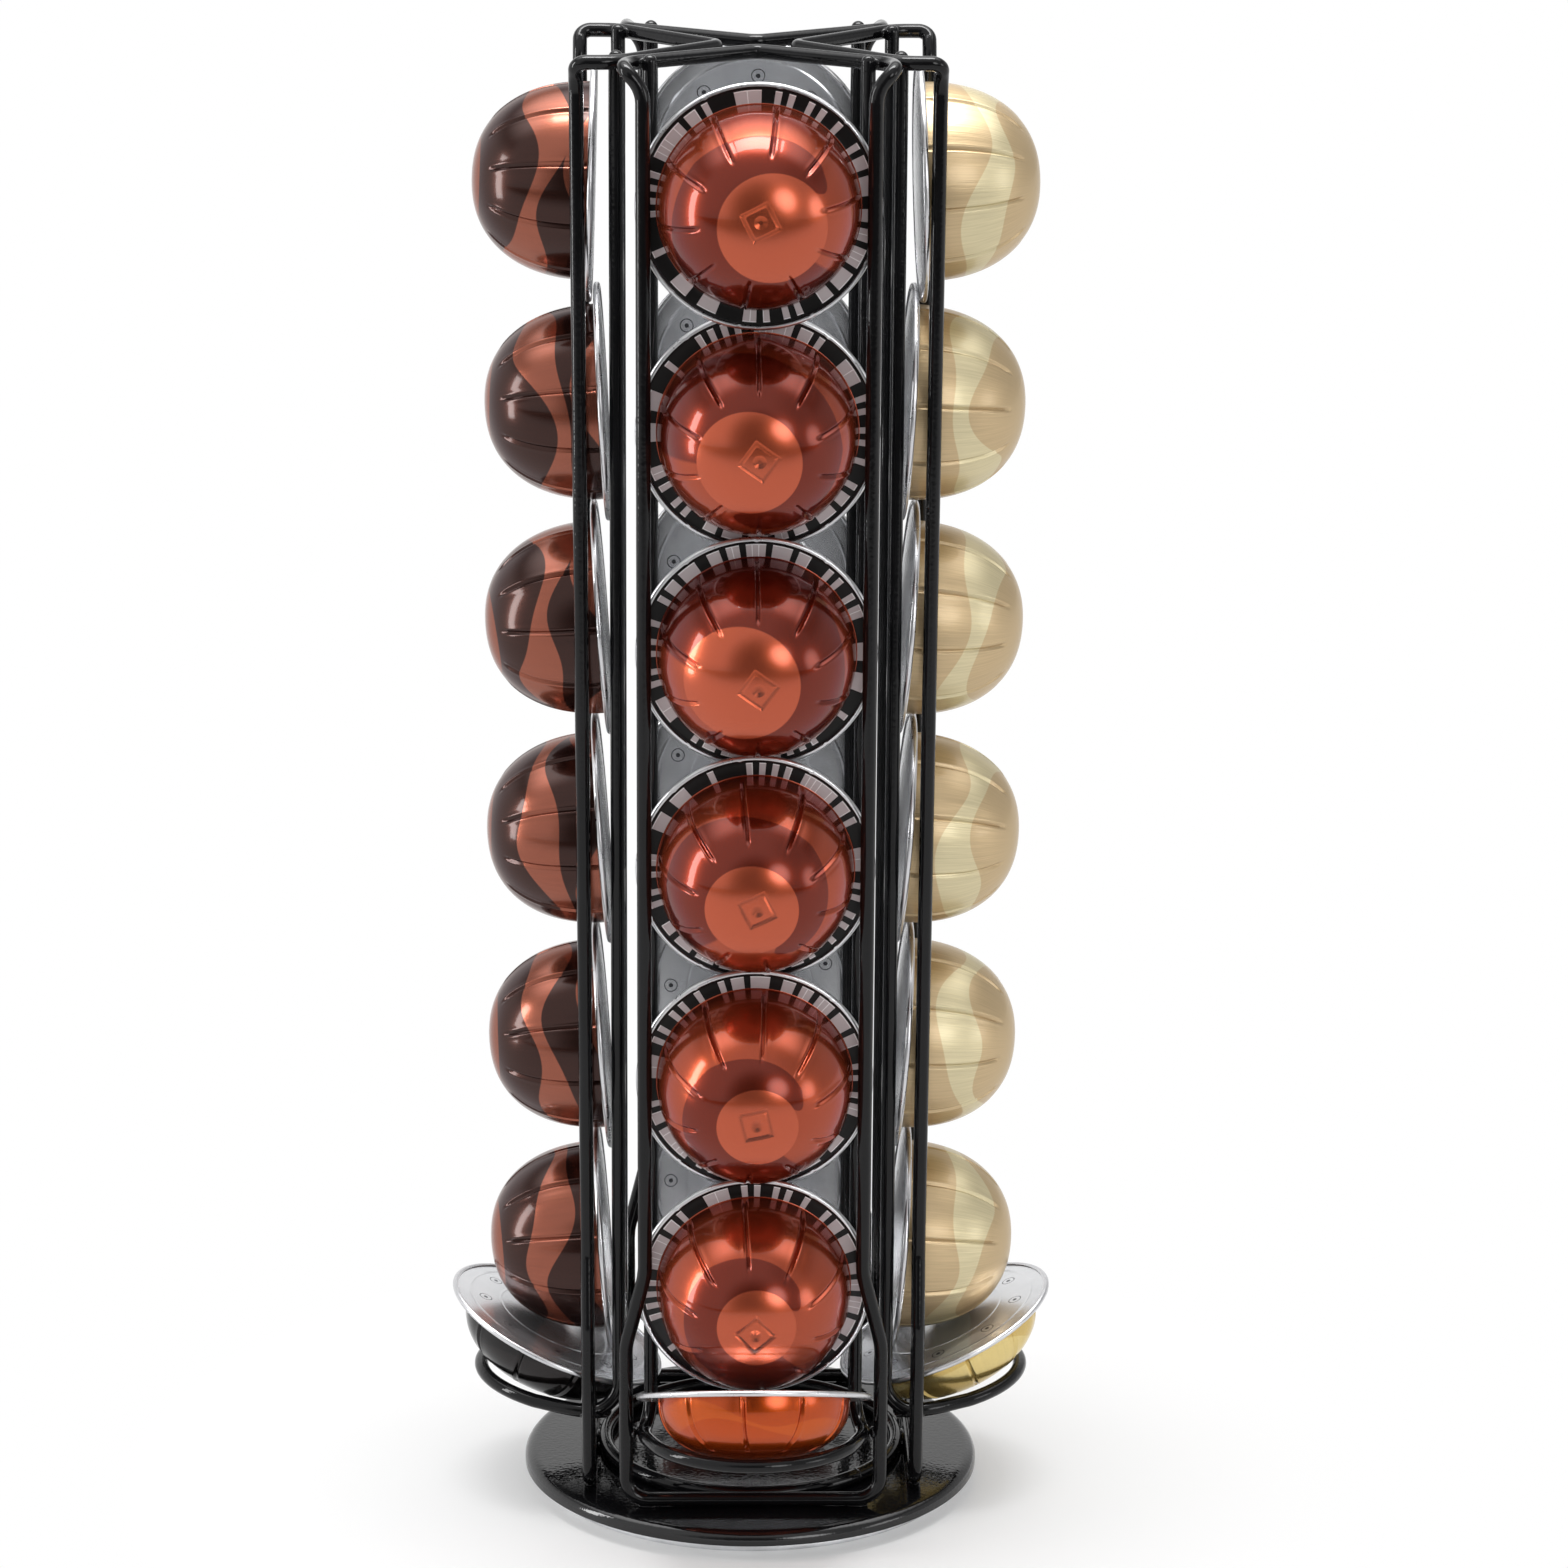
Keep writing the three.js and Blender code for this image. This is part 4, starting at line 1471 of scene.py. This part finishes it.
@dataclass
class CapsuleShape:
    """One size of capsule in millimetres, with its foil down and its dome up."""

    name: str
    dome_height: float
    roundness: float
    flange_radius: float = 30.5
    flange_sheet: float = 0.7
    rim_height: float = 1.6
    rim_width: float = 1.1
    rim_squeeze: float = 0.95
    rim_start: float = -0.9 * math.pi
    rim_sweep: float = 1.65 * math.pi
    rim_steps: int = 12
    rim_foot: tuple[Point, ...] = ((0.1, 0.1), (0.4, 0.0))
    flange_shares: tuple[float, ...] = (0.75, 0.5, 0.25)
    dome_radius: float = 25.0
    foot_fillet: float = 0.5
    fillet_steps: int = 4
    foil_inset: float = 0.5
    foil_bulge: float = 0.15
    foil_power: float = 5
    foil_steps: int = 14
    dome_steps: int = 40
    dome_step_power: float = 1.05
    lowest_dome_step: float = 0.1
    groove_count: int = 10
    groove_depth: float = 0.55
    groove_lip: float = 0.12
    groove_half_width: float = 0.7
    groove_lip_reach: float = 1.25
    groove_inner_radius: float = 15.4
    groove_inner_fade: Pair = (-0.4, 0.9)
    groove_foot: float = 1.4
    groove_foot_fade: Pair = (-0.4, 0.8)
    columns_per_groove: int = 18
    column_offsets: tuple[float, ...] = (0.0, 0.32, 0.6, 0.85, 1.25)
    still_radius: float = 1.0
    slide_radii: Pair = (5.0, 9.5)
    band_edge: float = 0.25
    band_rise: float = 0.3
    band_normal: float = 0.5
    dome_clear: float = 0.05

    def build(self) -> Piece:
        """Models the capsule once, at the origin.

        Returns:
            The model, with its own places kept as an attribute.
        """
        steps = self.groove_count * self.columns_per_groove
        model = spin_outline(self.name, self.outline(), steps)
        self.press_grooves(model)
        smooth_by_angle(model, CAPSULE_SMOOTH)
        self.mark_zones(model)
        kept = model.data.attributes.new(OWN_PLACE, "FLOAT_VECTOR", "POINT")
        for item, vertex in zip(kept.data, model.data.vertices):
            item.vector = vertex.co
        return model

    def outline(self) -> list[Point]:
        """The outline from the foil's middle, round the rim and up the dome to its top."""
        outline: list[Point] = []
        foil_edge = self.flange_radius - self.rim_width
        for step in range(self.foil_steps + 1):
            share = step / self.foil_steps
            sunk = (self.foil_inset + self.foil_bulge) * (1 - share ** self.foil_power)
            outline.append((foil_edge * share, self.foil_inset - sunk))
        half_height = self.rim_height / 2
        half_width = half_height * self.rim_squeeze
        centre = self.flange_radius - half_width
        for step in range(1, self.rim_steps):
            angle = self.rim_start + self.rim_sweep * step / self.rim_steps
            outline.append((centre + half_width * math.cos(angle),
                            half_height + half_height * math.sin(angle)))
        for inward, upward in self.rim_foot:
            outline.append((foil_edge - inward, self.flange_sheet + upward))
        outermost, fillet_radius = outline[-1][0], self.dome_radius + self.foot_fillet
        for share in self.flange_shares:
            outline.append((fillet_radius + (outermost - fillet_radius) * share,
                            self.flange_sheet))
        for step in range(self.fillet_steps + 1):
            angle = QUARTER_TURN * step / self.fillet_steps
            outline.append((self.dome_radius + self.foot_fillet * (1 - math.sin(angle)),
                            self.flange_sheet + self.foot_fillet * (1 - math.cos(angle))))
        return [*outline, *self.dome_line()]

    def dome_line(self) -> list[Point]:
        """The dome from above its fillet to its top, in steps of about even length."""
        points = []
        lowest = self.flange_sheet + self.foot_fillet + self.lowest_dome_step
        for step in range(1, self.dome_steps):
            angle = QUARTER_TURN * (step / self.dome_steps) ** self.dome_step_power
            radius = self.dome_radius * math.cos(angle) ** (2 / self.roundness)
            rise = math.sin(angle) ** (2 / self.roundness)
            height = self.flange_sheet + (self.dome_height - self.flange_sheet) * rise
            if height > lowest:
                points.append((radius, height))
        return [*points, (0.0, self.dome_height)]

    def press_grooves(self, model: Piece) -> None:
        """Slides the dome's columns to the grooves' edges and presses the grooves in.

        Args:
            model: The spun capsule.
        """
        spacing = FULL_TURN / self.groove_count
        fine = FULL_TURN / (self.groove_count * self.columns_per_groove)
        foot = (self.flange_sheet + self.foot_fillet) * METRES_PER_MM
        edge = len(self.column_offsets) - 1
        outermost = self.columns_per_groove // 2
        for vertex in model.data.vertices:
            radius = math.hypot(vertex.co.x, vertex.co.y) / METRES_PER_MM
            if vertex.co.z <= foot or radius < self.still_radius:
                continue
            angle = math.atan2(vertex.co.y, vertex.co.x)
            middle = round(angle / spacing) * spacing
            off = angle - middle
            column = min(outermost, round(abs(off) / fine))
            edge_angle = math.asin(min(1.0, self.column_offsets[edge] / radius))
            if column <= edge:
                slid = math.asin(min(1.0, self.column_offsets[column] / radius))
            else:
                out = (column - edge) / (outermost - edge)
                slid = edge_angle + (spacing / 2 - edge_angle) * out
            share = smooth_share(radius, *self.slide_radii)
            moved = middle + math.copysign(slid * share + column * fine * (1 - share), off)
            vertex.co.x = radius * METRES_PER_MM * math.cos(moved)
            vertex.co.y = radius * METRES_PER_MM * math.sin(moved)
            lateral = radius * math.sin(abs(moved - middle))
            depth = self.pressed(radius, lateral, vertex.co.z)
            vertex.co -= self.normal(vertex.co) * depth * METRES_PER_MM

    def normal(self, at: Vector) -> Vector:
        """The direction straight out of the plain dome at a place."""
        radius = math.hypot(at.x, at.y)
        reach = (self.dome_height - self.flange_sheet) * METRES_PER_MM
        height = max(0.0, at.z - self.flange_sheet * METRES_PER_MM)
        power = self.roundness - 1
        outward = (radius / (self.dome_radius * METRES_PER_MM)) ** power / self.dome_radius
        upward = (height / reach) ** power / (reach / METRES_PER_MM)
        return Vector((at.x / radius * outward, at.y / radius * outward, upward)).normalized()

    def pressed(self, radius: float, lateral: float, height: float) -> float:
        """How deep the groove is at a place, in millimetres, below nought on its lips."""
        if lateral >= self.groove_lip_reach:
            return 0.0
        ends = 1.0
        for value, end, fade in (
                (radius, self.groove_inner_radius, self.groove_inner_fade),
                (height / METRES_PER_MM, self.groove_foot, self.groove_foot_fade)):
            ends *= smooth_share(value, *(end + step for step in fade))
        if lateral <= self.groove_half_width:
            share = math.cos(QUARTER_TURN * lateral / self.groove_half_width)
            return (self.groove_depth + self.groove_lip) * share * ends - self.groove_lip * ends
        lip_width = self.groove_lip_reach - self.groove_half_width
        share = (lateral - self.groove_half_width) / lip_width
        return -self.groove_lip * (1 - share) * ends

    def mark_zones(self, model: Piece) -> None:
        """Gives each face the material of its zone."""
        foil_edge = self.flange_radius - self.rim_width
        for face in model.data.polygons:
            centre = face.center / METRES_PER_MM
            radius = math.hypot(centre.x, centre.y)
            above = centre.z - self.flange_sheet
            if above > self.dome_clear and radius < self.dome_radius + self.foot_fillet:
                zone = Zone.DOME
            elif (face.normal.z > self.band_normal and radius < foil_edge - self.band_edge
                  and above < self.band_rise):
                zone = Zone.BAND
            elif face.normal.z < 0 and radius < foil_edge:
                zone = Zone.FOIL
            else:
                zone = Zone.RIM
            face.material_index = zone.value


@dataclass(frozen=True)
class PrintLay:
    """How a capsule's print lies on its dome, shifts in millimetres and turn in degrees."""

    across: float
    up: float
    turn: float
    scale: float = 1.0

    @classmethod
    def drawn(cls, draws: random.Random) -> "PrintLay":
        """Draws how the print lies on a capsule whose print nobody sees straight on."""
        across, up = (draws.gauss(0, spread) for spread in PRINT_SHIFTS)
        return cls(across, up, draws.uniform(0, 360), draws.uniform(*PRINT_SCALES))


class Berth(NamedTuple):
    """Where a capsule sits in its column: its foil's middle, in millimetres, and its turn.

    The turn is the dome's turn about X from straight up, in degrees.
    """

    depth: float
    height: float
    turn: float


@dataclass
class CapsuleStacks:
    """The places of the capsules in each column, in millimetres and degrees."""

    pitch_gap: float = 0.8
    seat_gap: float = 0.3
    foil_room: float = 0.4
    stack_lean: float = 4.2
    stack_depth: float = 38.5
    upper_leans: Pair = (-1.5, 3.0)
    upper_depths: Pair = (40.8, 38.1)
    seat_tip: float = 24.0
    seat_depth: float = 51.6
    seat_height: float = 43.0
    stacked: int = 6
    seed: int = 7
    tall: CapsuleShape = field(default_factory=lambda: CapsuleShape(
        "tall_capsule_model", 31.0, 2.25))
    shallow: CapsuleShape = field(default_factory=lambda: CapsuleShape(
        "shallow_capsule_model", 17.0, 2.5))
    front_prints: tuple[PrintLay, ...] = (
        PrintLay(2.8, -1.8, 33, 1.16),
        PrintLay(-2.4, -1.0, 255, 1.12),
        PrintLay(-4.0, 0.5, 238, 1.25),
        PrintLay(-1.4, -0.7, 296, 1.02),
        PrintLay(0.3, -1.1, 22, 0.9),
        PrintLay(0.3, 1.5, 22, 0.88),
    )

    def lowest_height(self) -> float:
        """The height of the lowest upright capsule, which stands on the tipped one's foil."""
        lean, tip = math.radians(self.stack_lean), math.radians(self.seat_tip)
        radius, rim = self.tall.flange_radius, self.tall.rim_height
        foot_depth = self.stack_depth - radius * math.sin(lean) + rim * math.cos(lean)
        foil_height = self.seat_height + (foot_depth - self.seat_depth) * math.tan(tip)
        foot = radius * math.cos(lean) + rim * math.sin(lean)
        return foil_height + foot + (self.seat_gap + self.foil_room) / math.cos(tip)

    def berths(self) -> list[Berth]:
        """The places of one column's upright capsules, from the top down."""
        pitch = (self.tall.flange_radius + self.tall.dome_radius + self.pitch_gap) / math.cos(
            math.radians(self.stack_lean))
        rest = self.stacked - len(self.upper_leans)
        leans = [*self.upper_leans, *[self.stack_lean] * rest]
        depths = [*self.upper_depths, *[self.stack_depth] * rest]
        return [Berth(depth, self.lowest_height() + pitch * (self.stacked - 1 - index), 90.0 + lean)
                for index, (lean, depth) in enumerate(zip(leans, depths))]

    def build(self, finishes: Finishes) -> None:
        """Models both sizes of capsule and copies them to every place."""
        tall_model, shallow_model = self.tall.build(), self.shallow.build()
        draws = random.Random(self.seed)
        catch = Berth(self.seat_depth, self.seat_height, 180.0 - self.seat_tip)
        for side in Side:
            dome, catch_dome = (lacquer.material() for lacquer in DOME_FINISHES[side])
            rest = [finishes.band, finishes.rim, finishes.foil]
            for index, berth in enumerate(self.berths()):
                laid = self.front_prints[index] if side is Side.FRONT else PrintLay.drawn(draws)
                copied = self.copy(tall_model, side, f"{side.label}_capsule_{index + 1}", berth,
                                   draws.uniform(0, FULL_TURN), laid)
                seat(copied, [dome, *rest], f"{side.label}_stack", Slot[side.name],
                     f"{side.label}_capsule_{index + 1}")
            laid = PrintLay.drawn(draws)
            copied = self.copy(shallow_model, side, f"{side.label}_dispensed_capsule", catch,
                               draws.uniform(0, FULL_TURN), laid)
            seat(copied, [catch_dome, *rest], f"{side.label}_dispensed", Slot[side.name],
                 f"{side.label}_dispensed_capsule")
        for model in (tall_model, shallow_model):
            bpy.data.objects.remove(model)

    def copy(self, model: Piece, side: Side, node: str, berth: Berth, own_angle: float,
             laid: PrintLay) -> Piece:
        """Puts one copy of a capsule in its place.

        Args:
            model: The capsule at the origin.
            side: The column.
            node: The node that it stands for.
            berth: Its place in the column.
            own_angle: Its turn about its own axis, in radians.
            laid: How the print lies on it.

        Returns:
            The copy, with its place in its mesh.
        """
        data = model.data.copy()
        own_turn = Matrix.Rotation(own_angle, 4, "Z")
        self.lay_print(data, own_turn, laid)
        lean = Matrix.Rotation(math.radians(berth.turn), 4, "X")
        shift = Matrix.Translation(place(0, berth.depth, berth.height) * METRES_PER_MM)
        data.transform(side.turn @ shift @ lean @ own_turn)
        piece = bpy.data.objects.new(f"{node}_body", data)
        bpy.context.scene.collection.objects.link(piece)
        return piece

    def lay_print(self, data: bpy.types.Mesh, own_turn: Matrix, laid: PrintLay) -> None:
        """Keeps the place of each point in the print, which lies a little off the dome's middle.

        Args:
            data: The copy's mesh, still at the origin.
            own_turn: The turn of the copy about its own axis.
            laid: How the print lies on this copy.
        """
        turn = Matrix.Rotation(-math.radians(laid.turn), 4, "Z")
        shrink = Matrix.Diagonal((1 / laid.scale, 1 / laid.scale, 1.0, 1.0))
        shift = Matrix.Translation(metres(-laid.across, -laid.up, 0))
        print_turn = shrink @ turn @ shift @ own_turn
        kept = data.attributes.new(PRINT_PLACE, "FLOAT_VECTOR", "POINT")
        kept.data.foreach_set("vector", [
            part for vertex in data.vertices for part in print_turn @ vertex.co])


def main() -> None:
    """Builds the studio and every sub-assembly."""
    logging.basicConfig(level=logging.INFO, format="%(message)s")
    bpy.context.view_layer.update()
    Studio().build()
    finishes = Finishes()
    FootAndPivot().build(finishes)
    TurningPlate().build(finishes)
    for side in Side:
        WireColumn(side).build(finishes)
    CapsuleStacks().build(finishes)


if __name__ == "__main__":
    main()
